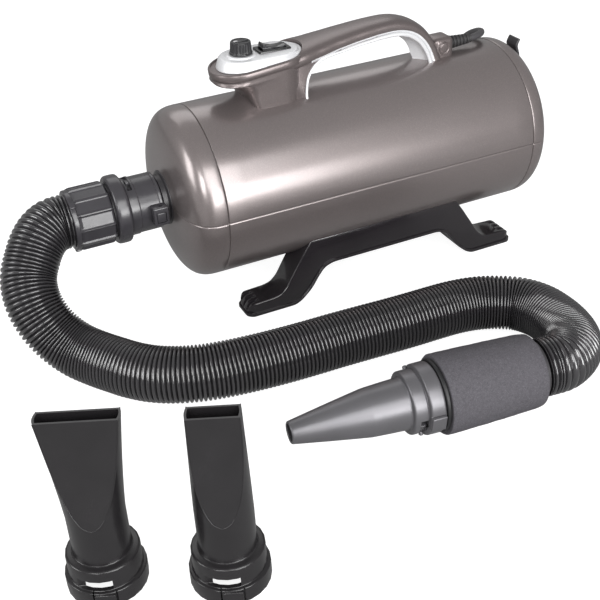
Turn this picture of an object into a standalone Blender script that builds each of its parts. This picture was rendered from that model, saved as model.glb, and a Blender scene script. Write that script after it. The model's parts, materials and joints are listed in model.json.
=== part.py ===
"""Grooming dryer for a veterinary clinic: a cylinder blower with its hose, handpiece, spare nozzles and mains lead.

X runs along the blower's axis, with the air outlet at -X and the air inlet at +X. Z is up and the floor is z = 0.
The control side of the blower faces -Y. Lengths are in metres.
"""
import bmesh
import bpy
from math import acos, atan2, cos, pi, radians, sin
from mathutils import Matrix, Vector

# ---- driving dimensions -------------------------------------------------------------------
GAP = 0.0003            # clearance kept between touching pieces
BODY_R = 0.0875         # outer radius of the barrel
BODY_LEN = 0.3512       # barrel length between the two cap seams
AXIS_Z = 0.126          # height of the barrel's axis above the floor
WALL = 0.0028           # wall of the moulded shells
FRONT_DEPTH = 0.0365    # depth of the outlet cap
REAR_DEPTH = 0.0285     # depth of the inlet cap
CAP_POWER = 3.3         # how square the caps' shoulders are
NECK_R = 0.0245         # outlet neck
ADAPTER_R = 0.0285      # hose adapter
COLLAR_R = 0.0345       # bayonet collar
CUFF_R = 0.0298         # hose cuff
HOSE_R = 0.0268         # corrugated hose, over its ribs
BORE_R = 0.0190         # air bore through neck, adapter and cuff
LEAD_R = 0.00375        # mains lead
RUNNER_Y = 0.0525       # middle of each runner, either side of the axis
RUNNER_W = 0.035        # runner width
RUNNER_X = 0.0055       # middle of the runners along the axis
PAD_H = 0.0012          # how far the rubber pads stand out of the runners
PANEL_AT = (-0.100, 0.0, 0.2480)    # middle of the control panel's seat
PANEL_TILT = radians(-6.3)          # the seat rises to the rear
FACE_AT = (-0.1160, 0.0, 0.2555)    # middle of the knob, on the panel's nearly level top face
FACE_TILT = radians(1.5)
POD_HALF_W = 0.032      # half width of the control pod
HAND_AT = (0.0167, -0.3229, 0.0363)     # hose end of the handpiece
HAND_TURN = atan2(0.11186, -0.99372)    # its heading on the floor
HAND_BACK = Vector(HAND_AT) - 0.0010 * Vector((cos(HAND_TURN), sin(HAND_TURN), 0))   # where the hose ends
FAN_AT = (-0.3935, -0.3440, 0.0)        # spare fan nozzle
FLAT_AT = (-0.3092, -0.3860, 0.0)       # spare flat nozzle
SPARE_TURN = radians(-23.9)             # the way the spare nozzles face
ROCKER_REST = radians(9.0)              # rocker's tilt at rest, front end up

ORIGIN_SHIFT = Vector((0.1071, 0.1647, 0.0))    # from under the middle of the barrel to the part's origin

HALF = BODY_LEN / 2
TOP_Z = AXIS_Z + BODY_R
X_TO_Z = Matrix.Rotation(pi / 2, 4, "Y")    # turns a piece made about Z onto the X axis


# ---- materials and collections ------------------------------------------------------------
COLOURS = {
    "shell_paint": ((0.200, 0.175, 0.168), 0.28, 0.65),
    "handle_paint": ((0.180, 0.158, 0.152), 0.30, 0.60),
    "silver_trim": ((0.780, 0.785, 0.800), 0.22, 0.70),
    "black_gloss": ((0.022, 0.020, 0.022), 0.22, 0.0),
    "black_plastic": ((0.035, 0.034, 0.036), 0.42, 0.0),
    "grey_plastic": ((0.070, 0.070, 0.075), 0.40, 0.0),
    "hose_plastic": ((0.020, 0.020, 0.022), 0.26, 0.0),
    "foam": ((0.060, 0.059, 0.065), 0.95, 0.0),
    "rubber": ((0.018, 0.018, 0.018), 0.75, 0.0),
    "steel": ((0.600, 0.600, 0.610), 0.30, 1.0),
    "copper": ((0.720, 0.350, 0.160), 0.35, 1.0),
    "alloy": ((0.560, 0.570, 0.580), 0.42, 1.0),
    "board": ((0.030, 0.150, 0.060), 0.55, 0.0),
}


def material(slot, node):
    colour, rough, metal = COLOURS[slot]
    mat = bpy.data.materials.new(f"{slot}_{node}"[:60])
    mat.use_nodes = True
    shader = mat.node_tree.nodes["Principled BSDF"]
    shader.inputs["Base Color"].default_value = (*colour, 1)
    shader.inputs["Roughness"].default_value = rough
    shader.inputs["Metallic"].default_value = metal
    return mat


def start():
    for obj in list(bpy.data.objects):
        bpy.data.objects.remove(obj, do_unlink=True)
    made = []
    for name in ("grooming_dryer", "cutters"):
        group = bpy.data.collections.new(name)
        bpy.context.scene.collection.children.link(group)
        made.append(group)
    return made


PARTS, CUTTERS = start()


# ---- shape helpers ------------------------------------------------------------------------
def add(name, data, slot=None, matrix=None, parent=None):
    """Puts mesh or curve data in the scene as one named piece, or as a cutter where it has no slot."""
    obj = bpy.data.objects.new(name, data)
    if slot:
        PARTS.objects.link(obj)
        data.materials.append(material(slot, name))
    else:
        CUTTERS.objects.link(obj)
        obj.hide_render = True
        obj.display_type = "WIRE"
    if parent:
        obj.parent = parent
    obj.matrix_local = matrix or Matrix.Identity(4)
    return obj


def empty(name, matrix):
    obj = bpy.data.objects.new(name, None)
    PARTS.objects.link(obj)
    obj.matrix_world = matrix
    return obj


def at(x, y, z):
    return Matrix.Translation((x, y, z))


def from_bmesh(name, bm):
    mesh = bpy.data.meshes.new(name)
    bm.to_mesh(mesh)
    bm.free()
    return mesh


def block(name, size, slot=None, matrix=None, parent=None, round_by=0.0):
    bm = bmesh.new()
    bmesh.ops.create_cube(bm, size=1.0)
    bmesh.ops.scale(bm, vec=size, verts=bm.verts)
    if round_by:
        bmesh.ops.bevel(bm, geom=bm.edges[:], offset=round_by, segments=2, affect="EDGES", profile=0.6)
    return add(name, from_bmesh(name, bm), slot, matrix, parent)


def rod(name, radius, length, slot=None, matrix=None, parent=None, sides=24, top=None):
    """A cylinder or cone about its own Z, middle at the origin."""
    bm = bmesh.new()
    bmesh.ops.create_cone(bm, cap_ends=True, segments=sides, radius1=radius,
                          radius2=radius if top is None else top, depth=length)
    return add(name, from_bmesh(name, bm), slot, matrix, parent)


def turned(name, profile, slot=None, matrix=None, parent=None, steps=24, angle=2 * pi, closed=True):
    """Turns (radius, height) points about Z. The points run down the outer side and back up the inner one."""
    mesh = bpy.data.meshes.new(name)
    count = len(profile)
    edges = [(i, (i + 1) % count) for i in range(count if closed else count - 1)]
    mesh.from_pydata([(r, 0.0, h) for r, h in profile], edges, [])
    obj = add(name, mesh, slot, matrix, parent)
    screw = obj.modifiers.new("turn", "SCREW")
    screw.angle = angle
    screw.steps = screw.render_steps = steps
    screw.use_merge_vertices = True
    screw.merge_threshold = 0.00001
    screw.use_smooth_shade = True
    return obj


def along_x(x=0.0, z=AXIS_Z, y=0.0):
    """A piece made about Z lies along the barrel's axis, with its own z = 0 at this x."""
    return at(x, y, z) @ X_TO_Z


def bevel(obj, width, segments=2, angle=radians(35)):
    mod = obj.modifiers.new("edges", "BEVEL")
    mod.width = width
    mod.segments = segments
    mod.limit_method = "ANGLE"
    mod.angle_limit = angle
    return obj


def combine(obj, other, operation="DIFFERENCE"):
    mod = obj.modifiers.new(operation.lower(), "BOOLEAN")
    mod.operation = operation
    mod.solver = "EXACT"
    mod.object = other
    return obj


def cut(obj, *others):
    for other in others:
        combine(obj, other)
    return obj


def join(obj, *others):
    for other in others:
        combine(obj, other, "UNION")
    return obj


def as_mesh(obj, weld=0.00001):
    """Swaps a curve, or a piece with modifiers, for its finished mesh."""
    bpy.context.view_layer.update()
    graph = bpy.context.evaluated_depsgraph_get()
    mesh = bpy.data.meshes.new_from_object(obj.evaluated_get(graph))
    bm = bmesh.new()
    bm.from_mesh(mesh)
    bmesh.ops.remove_doubles(bm, verts=bm.verts, dist=weld)
    bm.to_mesh(mesh)
    bm.free()
    name, place, parent = obj.name, obj.matrix_world.copy(), obj.parent
    group = obj.users_collection[0]
    new = bpy.data.objects.new(name + "_mesh", mesh)
    group.objects.link(new)
    new.parent = parent
    new.matrix_world = place
    new.hide_render, new.display_type = obj.hide_render, obj.display_type
    bpy.data.objects.remove(obj, do_unlink=True)
    new.name = name
    return new


def outline(name, points, thickness, slot=None, matrix=None, parent=None, holes=()):
    """A flat closed outline in its own XY, given a thickness along its Z, as a mesh."""
    curve = bpy.data.curves.new(name, "CURVE")
    curve.dimensions = "2D"
    curve.fill_mode = "BOTH"
    curve.extrude = thickness / 2
    for ring in (points, *holes):
        spline = curve.splines.new("POLY")
        spline.points.add(len(ring) - 1)
        for point, (x, y) in zip(spline.points, ring):
            point.co = (x, y, 0, 1)
        spline.use_cyclic_u = True
    return as_mesh(add(name, curve, slot, matrix, parent))


def side_plate(name, points, y, thickness, slot=None):
    """An outline given as (x, z) points, standing in the XZ plane at this y."""
    return outline(name, points, thickness, slot, at(0, y, 0) @ Matrix.Rotation(pi / 2, 4, "X"))


def loft(name, rings, slot=None, matrix=None, parent=None):
    """Skins a row of closed rings with the same number of points, and closes both ends."""
    bm = bmesh.new()
    rows = [[bm.verts.new(p) for p in ring] for ring in rings]
    count = len(rows[0])
    for a, b in zip(rows, rows[1:]):
        for i in range(count):
            bm.faces.new((a[i], a[(i + 1) % count], b[(i + 1) % count], b[i]))
    bm.faces.new(rows[0])
    bm.faces.new(rows[-1][::-1])
    bmesh.ops.recalc_face_normals(bm, faces=bm.faces)
    return add(name, from_bmesh(name, bm), slot, matrix, parent)


def stadium(length, width, steps=10):
    """Round-ended outline, its long way along X."""
    r, half = width / 2, (length - width) / 2
    right = [(half + r * cos(a), r * sin(a)) for a in (pi * (i / steps - 0.5) for i in range(steps + 1))]
    left = [(-x, -y) for x, y in right]
    return right + left


def oval(half_x, half_y, power=2.0, count=28):
    """Points of a rounded rectangle that goes from an ellipse to a box as the power rises."""
    out = []
    for i in range(count):
        a = 2 * pi * i / count
        c, s = cos(a), sin(a)
        out.append((half_x * abs(c) ** (2 / power) * (1 if c >= 0 else -1),
                    half_y * abs(s) ** (2 / power) * (1 if s >= 0 else -1)))
    return out


def smooth_path(points, spacing):
    """Points at about this spacing on a smooth curve through the given ones."""
    pts = [Vector(p) for p in points]
    pts = [pts[0] * 2 - pts[1]] + pts + [pts[-1] * 2 - pts[-2]]
    fine = []
    for a, b, c, d in zip(pts, pts[1:], pts[2:], pts[3:]):
        for i in range(12):
            t = i / 12
            fine.append(0.5 * ((2 * b) + (c - a) * t + (2 * a - 5 * b + 4 * c - d) * t * t
                               + (3 * b - a - 3 * c + d) * t ** 3))
    fine.append(pts[-2].copy())
    total = sum((q - p).length for p, q in zip(fine, fine[1:]))
    count = max(2, round(total / spacing))
    out, run, want = [fine[0]], 0.0, total / count
    for p, q in zip(fine, fine[1:]):
        step = (q - p).length
        while step > 0 and run + step >= want * len(out) - 1e-9 and len(out) < count:
            out.append(p.lerp(q, (want * len(out) - run) / step))
        run += step
    return out + [fine[-1]]


def tube(name, points, radius, slot, sides=2):
    curve = bpy.data.curves.new(name, "CURVE")
    curve.dimensions = "3D"
    curve.bevel_depth = radius
    curve.bevel_resolution = sides
    curve.use_fill_caps = True
    spline = curve.splines.new("POLY")
    spline.points.add(len(points) - 1)
    for point, p in zip(spline.points, points):
        point.co = (*p, 1)
    return as_mesh(add(name, curve, slot))


def barrel_cutter(name="barrel_space", radius=BODY_R + GAP, length=0.5):
    return rod(name, radius, length, matrix=along_x(), sides=72)


# ---- shells and caps ----------------------------------------------------------------------
def half_shell(name, outer, inner, upper, slot, steps):
    """A turned shell from its outer line (top to bottom) and inner line, cut along the parting plane."""
    obj = turned(name, outer + inner[::-1], slot, along_x(), steps=steps)
    away = AXIS_Z + (0.05 * (-1 if upper else 1)) + (GAP / 2 if upper else -GAP / 2)
    return cut(obj, block(f"other_half_{name}", (0.6, 0.3, 0.1), matrix=at(0, 0, away)))


def cap_profile(depth, radius, inner_r, count=6):
    """Shoulder curve from the seam to the central opening, as (radius, distance from the seam)."""
    last = acos((inner_r / radius) ** (CAP_POWER / 2))
    angles = [last * i / count for i in range(count + 1)]
    return [(radius * cos(a) ** (2 / CAP_POWER), depth * sin(a) ** (2 / CAP_POWER)) for a in angles]


def shells():
    wire_hole = rod("wire_hole", 0.006, 0.03, matrix=at(-0.086, 0, TOP_Z))
    lead_hole = rod("lead_hole", 0.006, 0.03, matrix=at(0.109, 0, TOP_Z))
    outer, inner = [[(r, HALF), (r, -HALF)] for r in (BODY_R, BODY_R - WALL)]
    cut(half_shell("upper_shell", outer, inner, True, "shell_paint", 72), wire_hole, lead_hole)
    lower = half_shell("lower_shell", outer, inner, False, "shell_paint", 72)
    for x, y in SCREW_SPOTS:
        cut(lower, rod("shell_screw_hole", 0.0026, 0.04, matrix=at(x, y, AXIS_Z - 0.07), sides=12))
    thin = BODY_R - WALL
    for word, depth, hole, way in (("front", FRONT_DEPTH, NECK_R + GAP, -1), ("rear", REAR_DEPTH, COVER_R + GAP, 1)):
        outer, inner = [[(r, way * (HALF + GAP + d)) for r, d in cap_profile(deep, wide, hole)][::-way]
                        for wide, deep in ((BODY_R, depth), (thin, depth - WALL))]
        for upper, half in ((True, "upper"), (False, "lower")):
            half_shell(f"{word}_cap_{half}", outer, inner, upper, "shell_paint", 40)


# ---- inlet side ---------------------------------------------------------------------------
COVER_R = 0.0640                    # filter cover, in the middle of the inlet cap
COVER_X = HALF + REAR_DEPTH         # its outer face
LATCH_Z = AXIS_Z + 0.0560           # hinge of the latch tab, near the cover's top edge


def filter_cover():
    """Dished cover with two rings of slots, a rim that enters the cap, and a notch for the latch."""
    face, rim = COVER_X + 0.0010, COVER_X - 0.0160
    cover = turned("filter_cover", [(0.0, face), (COVER_R - 0.004, face), (COVER_R - GAP, face - 0.003),
                                    (COVER_R - GAP, rim), (COVER_R - 0.0028, rim),
                                    (COVER_R - 0.0028, face - 0.004), (0.0, face - 0.003)],
                   "black_plastic", along_x(), steps=24, closed=False)
    for ring, (inner, outer, count) in enumerate(((0.014, 0.030, 8), (0.034, 0.053, 12))):
        for i in range(count):
            turn = Matrix.Rotation(2 * pi * (i + 0.5) / count, 4, "Z")
            slot = block(f"inlet_slot_{ring}_{i}", (outer - inner, 0.0055, 0.02),
                         matrix=along_x(COVER_X) @ turn @ at((inner + outer) / 2, 0, 0))
            cut(cover, slot)
    for i in (-1, 1):
        join(cover, block(f"latch_ear_{i}", (0.0060, 0.0030, 0.0070), matrix=at(COVER_X + 0.0030, 0.0112 * i, LATCH_Z)))
    return cover


def latch_tab():
    """Finger tab over the cap's shoulder, on a hinge along Y at the top of the filter cover."""
    hinge = empty("latch_hinge", at(COVER_X + 0.0032, 0, LATCH_Z))
    side = [(-0.0012, -0.0016), (0.0014, -0.0016), (0.0020, 0.0060), (0.0012, 0.0140), (-0.0020, 0.0235),
            (0.0014, 0.0300), (-0.0010, 0.0312), (-0.0052, 0.0240), (-0.0022, 0.0140), (-0.0016, 0.0070)]
    tab = outline("latch_tab", side, 0.0180, "black_plastic", Matrix.Rotation(pi / 2, 4, "X"), hinge)
    return bevel(tab, 0.0004, 1)


def filter_parts():
    turned("filter_foam", [(COVER_R - 0.0034, COVER_X - 0.0048), (COVER_R - 0.0034, COVER_X - 0.0145),
                           (0.004, COVER_X - 0.0145), (0.004, COVER_X - 0.0048)],
           "foam", along_x(), steps=24)
    frame = turned("filter_frame", [(COVER_R - 0.0040, COVER_X - 0.0150), (COVER_R - 0.0040, COVER_X - 0.0185),
                                    (COVER_R - 0.0075, COVER_X - 0.0185), (COVER_R - 0.0075, COVER_X - 0.0150)],
                   "black_plastic", along_x(), steps=24)
    for i in range(2):
        bar = block(f"frame_bar_{i}", (2 * COVER_R - 0.0115, 0.004, 0.0030 - 0.0004 * i),
                    matrix=along_x(COVER_X - 0.01675) @ Matrix.Rotation(pi / 2 * i + pi / 4, 4, "Z"))
        join(frame, bar)


# ---- motor and air path -------------------------------------------------------------------
MOTOR_X = 0.012         # middle of the motor along the axis
CAN_R, CAN_LEN = 0.0500, 0.1080
SHAFT_R = 0.0040


def motor():
    """Fan motor: alloy can with open spider ends, stator, bearings, brush holders and the turning rotor."""
    x0, x1 = MOTOR_X - CAN_LEN / 2, MOTOR_X + CAN_LEN / 2
    can = turned("motor_can", [(CAN_R, x1), (CAN_R, x0 + 0.003), (0.0092, x0 + 0.003), (0.0092, x0 + 0.009),
                               (CAN_R - 0.0025, x0 + 0.009), (CAN_R - 0.0025, x1)],
                 "alloy", along_x(), steps=24)
    end = turned("motor_end_bracket", [(CAN_R - 0.0029, x1 - 0.003), (CAN_R - 0.0029, x1 - 0.009),
                                       (0.0092, x1 - 0.009), (0.0092, x1 - 0.003)],
                 "alloy", along_x(), steps=24)
    for word, spider, x in (("front", can, x0 + 0.006), ("rear", end, x1 - 0.006)):
        for i in range(4):
            turn = Matrix.Rotation(pi / 2 * i + pi / 4, 4, "Z")
            cut(spider, rod(f"spider_window_{word}_{i}", 0.0125, 0.02, matrix=along_x(x) @ turn @ at(0.0295, 0, 0),
                            sides=10))
        turned(f"bearing_{word}", [(0.0089, x + 0.0028), (0.0089, x - 0.0028), (SHAFT_R + GAP, x - 0.0028),
                                   (SHAFT_R + GAP, x + 0.0028)], "steel", along_x(), steps=14)
    turned("stator", [(CAN_R - 0.0029, MOTOR_X + 0.020), (CAN_R - 0.0029, MOTOR_X - 0.016),
                      (0.0245, MOTOR_X - 0.016), (0.0245, MOTOR_X + 0.020)], "steel", along_x(), steps=20)
    for word, turn in (("left", pi / 2), ("right", -pi / 2)):
        block(f"brush_holder_{word}", (0.026, 0.011, 0.009), "copper",
              along_x(MOTOR_X + 0.034) @ Matrix.Rotation(turn, 4, "Z") @ at(0.0272, 0, 0), round_by=0.0008)
    rotor(x0, x1)


def rotor(x0, x1):
    """Shaft, armature, commutator and the fan wheel that they turn."""
    turned("rotor_shaft", [(0.0, x1 + 0.004), (SHAFT_R, x1 + 0.004), (SHAFT_R, MOTOR_X + 0.040),
                           (0.0130, MOTOR_X + 0.040), (0.0130, MOTOR_X + 0.024), (0.0232, MOTOR_X + 0.019),
                           (0.0232, MOTOR_X - 0.015), (SHAFT_R, MOTOR_X - 0.022), (SHAFT_R, x0 - 0.036),
                           (0.0, x0 - 0.036)], "copper", along_x(), steps=16, closed=False)
    fan_x = x0 - 0.019
    wheel = turned("fan_wheel", [(0.046, fan_x + 0.0095), (0.046, fan_x + 0.0075), (0.009, fan_x - 0.006),
                                 (SHAFT_R + GAP, fan_x - 0.006), (SHAFT_R + GAP, fan_x + 0.0095)],
                   "alloy", along_x(), steps=20)
    for i in range(9):
        turn = Matrix.Rotation(2 * pi * i / 9, 4, "Z")
        skew = Matrix.Rotation(radians(28), 4, "Z")
        blade = block(f"fan_blade_{i}", (0.034, 0.0016, 0.0140),
                      matrix=along_x(fan_x) @ turn @ at(0.0275, 0, 0) @ skew)
        join(wheel, blade)


def air_path():
    x0, x1 = MOTOR_X - CAN_LEN / 2, MOTOR_X + CAN_LEN / 2
    inner = BODY_R - WALL - GAP
    for word, x in (("front", x0 + 0.016), ("rear", x1 - 0.024)):
        turned(f"motor_mount_{word}", [(inner, x + 0.004), (inner, x - 0.004), (CAN_R + GAP, x - 0.007),
                                       (CAN_R + GAP, x + 0.007)], "rubber", along_x(), steps=24)
    turned("sound_lining", [(inner, HALF - 0.006), (inner, x1 - 0.006), (inner - 0.010, x1 - 0.006),
                            (inner - 0.010, HALF - 0.006)], "foam", along_x(), steps=24)
    turned("outlet_cone", [(inner, x0 + 0.006), (0.060, x0 - 0.030), (BORE_R + 0.006, -HALF + 0.004),
                           (BORE_R + 0.003, -HALF - 0.012), (BORE_R, -HALF - 0.012), (BORE_R + 0.003, -HALF + 0.004),
                           (0.057, x0 - 0.029), (inner - 0.004, x0 + 0.006)], "black_plastic", along_x(), steps=24)


# ---- outlet, adapter, collar and cuff -----------------------------------------------------
NECK_X = (-HALF - 0.0130, -0.2180)
ADAPTER_X = (-0.2206, -0.2520)
COLLAR_X = (-0.2545, -0.2683)
CUFF_X = (-0.2690, -0.3105)


def ring(name, radius, bore, x_from, x_to, slot, steps=24, soften=0.0):
    """A round sleeve about the barrel's axis, from x_from to x_to (towards the hose)."""
    profile = [(radius - soften, x_from), (radius, x_from - soften), (radius, x_to + soften),
               (radius - soften, x_to), (bore, x_to), (bore, x_from)]
    if not soften:
        profile = [(radius, x_from), (radius, x_to), (bore, x_to), (bore, x_from)]
    return turned(name, profile, slot, along_x(), steps=steps)


def outlet():
    neck = turned("outlet_neck", [(NECK_R, NECK_X[0]), (NECK_R, NECK_X[1]), (NECK_R - 0.0015, NECK_X[1] - 0.0020),
                                  (BORE_R, NECK_X[1] - 0.0020), (BORE_R, NECK_X[0])],
                  "black_plastic", along_x(), steps=24)
    adapter = ring("hose_adapter", ADAPTER_R, BORE_R, ADAPTER_X[0], ADAPTER_X[1] - 0.0020, "grey_plastic",
                   soften=0.0008)
    window = block("adapter_window", (0.0048, 0.0330, 0.0090), matrix=at(-0.2488, 0, AXIS_Z + ADAPTER_R + 0.0005))
    cut(adapter, window)
    seat = at(-0.2270, -ADAPTER_R - 0.0030, AXIS_Z - 0.0008)
    body = block("latch_block_core", (0.0152, 0.0140, 0.0192), matrix=seat, round_by=0.0008)
    pocket = block("latch_pocket", (0.0100, 0.0110, 0.0110), matrix=seat @ at(0, -0.0049, -0.0010))
    join(adapter, body)
    cut(adapter, rod("adapter_bore", BORE_R, 0.2, matrix=along_x(-0.22), sides=24),
        rod("neck_room", NECK_R + GAP, 0.06, matrix=along_x(NECK_X[1] - 0.0020 - GAP + 0.030), sides=24), pocket,
        rod("pin_hole", 0.0022, 0.0040, matrix=seat @ at(0.0010, -0.0010, 0.0096), sides=12))
    button = block("latch_button", (0.0092, 0.0056, 0.0102), "grey_plastic", seat @ at(0, -0.0042, -0.0010),
                   round_by=0.0006)
    return neck, adapter, button


def collar_and_cuff():
    collar = ring("bayonet_collar", COLLAR_R, BORE_R, COLLAR_X[0], COLLAR_X[1], "grey_plastic", steps=28, soften=0.001)
    cuff = ring("hose_cuff", CUFF_R - 0.0012, BORE_R, CUFF_X[0], CUFF_X[1], "grey_plastic", steps=24, soften=0.001)
    for i in range(12):
        turn = Matrix.Rotation(2 * pi * (i + 0.5) / 12, 4, "Z")
        middle = (CUFF_X[0] + CUFF_X[1]) / 2
        join(cuff, block(f"cuff_rib_{i}", (0.0030, 0.0036, 0.0380),
                         matrix=along_x(middle) @ turn @ at(CUFF_R - 0.0015, 0, 0)))
    return collar, cuff


HOSE_ROUTE = [
    (-0.3190, 0.0, AXIS_Z), (-0.3265, -0.0014, 0.1256), (-0.3360, -0.0058, 0.1230), (-0.3450, -0.0118, 0.1172),
    (-0.3531, -0.0188, 0.1081), (-0.3630, -0.0303, 0.0927), (-0.3655, -0.0443, 0.0763), (-0.3610, -0.0571, 0.0593),
    (-0.3515, -0.0688, 0.0436), (-0.3390, -0.0827, 0.0327), (-0.3254, -0.0990, 0.0282), (-0.3126, -0.1166, 0.0273),
    (-0.2997, -0.1341, 0.0272), (-0.2841, -0.1493, 0.0272), (-0.2655, -0.1607, 0.0272), (-0.2453, -0.1687, 0.0272),
    (-0.2241, -0.1738, 0.0272), (-0.2026, -0.1772, 0.0272), (-0.1809, -0.1796, 0.0272), (-0.1592, -0.1812, 0.0272),
    (-0.1374, -0.1822, 0.0272), (-0.1156, -0.1829, 0.0272), (-0.0938, -0.1840, 0.0272), (-0.0721, -0.1853, 0.0272),
    (-0.0503, -0.1866, 0.0272), (-0.0285, -0.1874, 0.0272), (-0.0067, -0.1879, 0.0272), (0.0150, -0.1893, 0.0272),
    (0.0363, -0.1938, 0.0272), (0.0560, -0.2030, 0.0272), (0.0730, -0.2165, 0.0272), (0.0826, -0.2355, 0.0275),
    (0.0844, -0.2572, 0.0283), (0.0814, -0.2787, 0.0298), (0.0732, -0.2990, 0.0322), (0.0590, -0.3158, 0.0350),
    (0.0404, -0.3246, 0.0362),
]


def hose():
    ahead = Vector((cos(HAND_TURN), sin(HAND_TURN), 0))
    route = smooth_path(HOSE_ROUTE + [HAND_BACK - 0.0080 * ahead], 0.020)
    tube("air_hose", [Vector((CUFF_X[1] - GAP, 0, AXIS_Z))] + route + [HAND_BACK], HOSE_R, "hose_plastic", sides=3)


# ---- handpiece ----------------------------------------------------------------------------
SOCKET_TURN = radians(-121)         # the nozzle's slot and the button in it, low on the near side
TAB_TURN = radians(-101)            # the tab on the nozzle's flange


def handpiece():
    """Foam grip on its tube, the end collar with its spigot and button, and the round nozzle, in line on the floor."""
    frame = empty("handpiece", Matrix.Translation(HAND_AT) @ Matrix.Rotation(HAND_TURN, 4, "Z"))
    lie = Matrix.Rotation(pi / 2, 4, "Y")

    def sleeve(name, profile, slot, steps=24):
        return turned(name, profile, slot, lie, frame, steps=steps)

    sleeve("grip_tube", [(0.0262, 0.1024), (0.0262, 0.0012), (0.0225, 0.0012), (0.0225, 0.1024)],
           "black_plastic", 20)
    sleeve("foam_grip", [(0.0350, 0.0996), (0.0360, 0.0978), (0.0354, 0.0550), (0.0338, 0.0085),
                         (0.0324, 0.0060), (0.0265, 0.0060), (0.0265, 0.0996)], "foam", 24)
    collar = sleeve("nozzle_collar", [(0.0240, 0.1290), (0.0240, 0.1038), (0.0335, 0.1036), (0.0335, 0.1000),
                                      (0.0265, 0.1000), (0.0265, 0.1027), (0.0190, 0.1027), (0.0190, 0.1290)],
                    "black_plastic", 24)
    seat = at(0.1228, 0, 0) @ Matrix.Rotation(SOCKET_TURN, 4, "X") @ at(0, 0, 0.0242)
    cut(collar, block("button_pocket", (0.0066, 0.0096, 0.0080), matrix=seat, parent=frame))
    block("nozzle_latch_button", (0.0060, 0.0090, 0.0040), "grey_plastic", seat, frame, round_by=0.0005)
    nozzle = sleeve("round_nozzle", [
        (0.0100, 0.2346), (0.0105, 0.2336), (0.0203, 0.1658), (0.0220, 0.1316), (0.0282, 0.1308), (0.0282, 0.1184),
        (0.0318, 0.1180), (0.0318, 0.1042), (0.0245, 0.1042), (0.0245, 0.1300), (0.0195, 0.1310), (0.0185, 0.1640),
        (0.0080, 0.2346)], "grey_plastic", 24)
    tab = at(0.1111, 0, 0) @ Matrix.Rotation(TAB_TURN, 4, "X") @ at(0, 0, 0.0308)
    join(nozzle, block("nozzle_tab", (0.0120, 0.0150, 0.0040), matrix=tab, parent=frame))
    cut(nozzle, block("nozzle_slot", (0.0078, 0.0270, 0.0120), matrix=seat @ at(-0.0002, 0, 0.0048), parent=frame),
        block("nozzle_channel", (0.0240, 0.0104, 0.0060), matrix=seat @ at(-0.0086, 0, 0.0002), parent=frame))


# ---- spare nozzles ------------------------------------------------------------------------
def wall_rings(section, count=20):
    """Rings up the outside of a nozzle, then down its inside, from (height, half_x, half_y, power, wall) rows."""
    outer = [[(x, y, z) for x, y in oval(hx, hy, power, count)] for z, hx, hy, power, _ in section]
    inner = [[(x, y, z) for x, y in oval(hx - w, hy - w, power, count)] for z, hx, hy, power, w in section]
    return outer, inner[::-1]


def hollow_loft(name, section, slot, matrix, count=20):
    """An open-ended tube whose section changes along its length."""
    outer, inner = wall_rings(section, count)
    bm = bmesh.new()
    rows = [[bm.verts.new(p) for p in points] for points in outer + inner]
    for a, b in zip(rows, rows[1:] + rows[:1]):
        for i in range(count):
            bm.faces.new((a[i], a[(i + 1) % count], b[(i + 1) % count], b[i]))
    bmesh.ops.recalc_face_normals(bm, faces=bm.faces)
    return add(name, from_bmesh(name, bm), slot, matrix)


def spare_nozzle(name, where, mouth, flare):
    """A nozzle standing on its bayonet flange, its flat mouth up. flare lists the sections above the socket."""
    matrix = Matrix.Translation(where) @ Matrix.Rotation(SPARE_TURN, 4, "Z")
    section = [(0.0000, 0.0310, 0.0310, 2.0, 0.0060), (0.0130, 0.0310, 0.0310, 2.0, 0.0060),
               (0.0135, 0.0282, 0.0282, 2.0, 0.0032), (0.0325, 0.0282, 0.0282, 2.0, 0.0032),
               (0.0330, 0.0222, 0.0222, 2.0, 0.0026), (0.0640, 0.0222, 0.0222, 2.0, 0.0024)]
    piece = hollow_loft(name, section + flare + [mouth], "black_plastic", matrix)
    cut(piece, block(name + "_slot", (0.0270, 0.012, 0.0080), matrix=matrix @ at(-0.006, -0.0290, 0.0190)))
    for i, x in enumerate((-0.0064, 0.0122)):
        cut(piece, block(f"{name}_notch_{i}", (0.0030, 0.014, 0.0095), matrix=matrix @ at(x, -0.0330, 0.0045)))
    return piece


def spare_nozzles():
    spare_nozzle("fan_nozzle", FAN_AT, (0.1560, 0.0300, 0.0070, 5.0, 0.0020),
                 [(0.0900, 0.0224, 0.0200, 2.2, 0.0022), (0.1250, 0.0256, 0.0125, 3.0, 0.0020)])
    spare_nozzle("flat_nozzle", FLAT_AT, (0.1560, 0.0205, 0.0075, 5.0, 0.0020),
                 [(0.0900, 0.0222, 0.0200, 2.2, 0.0022), (0.1250, 0.0216, 0.0130, 3.0, 0.0020)])


# ---- handle, pod and controls -------------------------------------------------------------
# Middle line of the grip, from inside the pod to the rear foot: x, z, half height, half width.
GRIP = [
    (-0.0800, 0.2440, 0.0090, 0.0290), (-0.0600, 0.2475, 0.0090, 0.0280), (-0.0400, 0.2500, 0.0085, 0.0245),
    (-0.0180, 0.2530, 0.0080, 0.0215), (0.0060, 0.2555, 0.0078, 0.0195), (0.0300, 0.2572, 0.0076, 0.0182),
    (0.0500, 0.2570, 0.0074, 0.0175), (0.0660, 0.2530, 0.0070, 0.0170), (0.0780, 0.2460, 0.0066, 0.0165),
    (0.0870, 0.2365, 0.0062, 0.0162), (0.0935, 0.2255, 0.0062, 0.0160), (0.0985, 0.2130, 0.0070, 0.0160),
    (0.1020, 0.2020, 0.0080, 0.0162),
]
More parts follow.
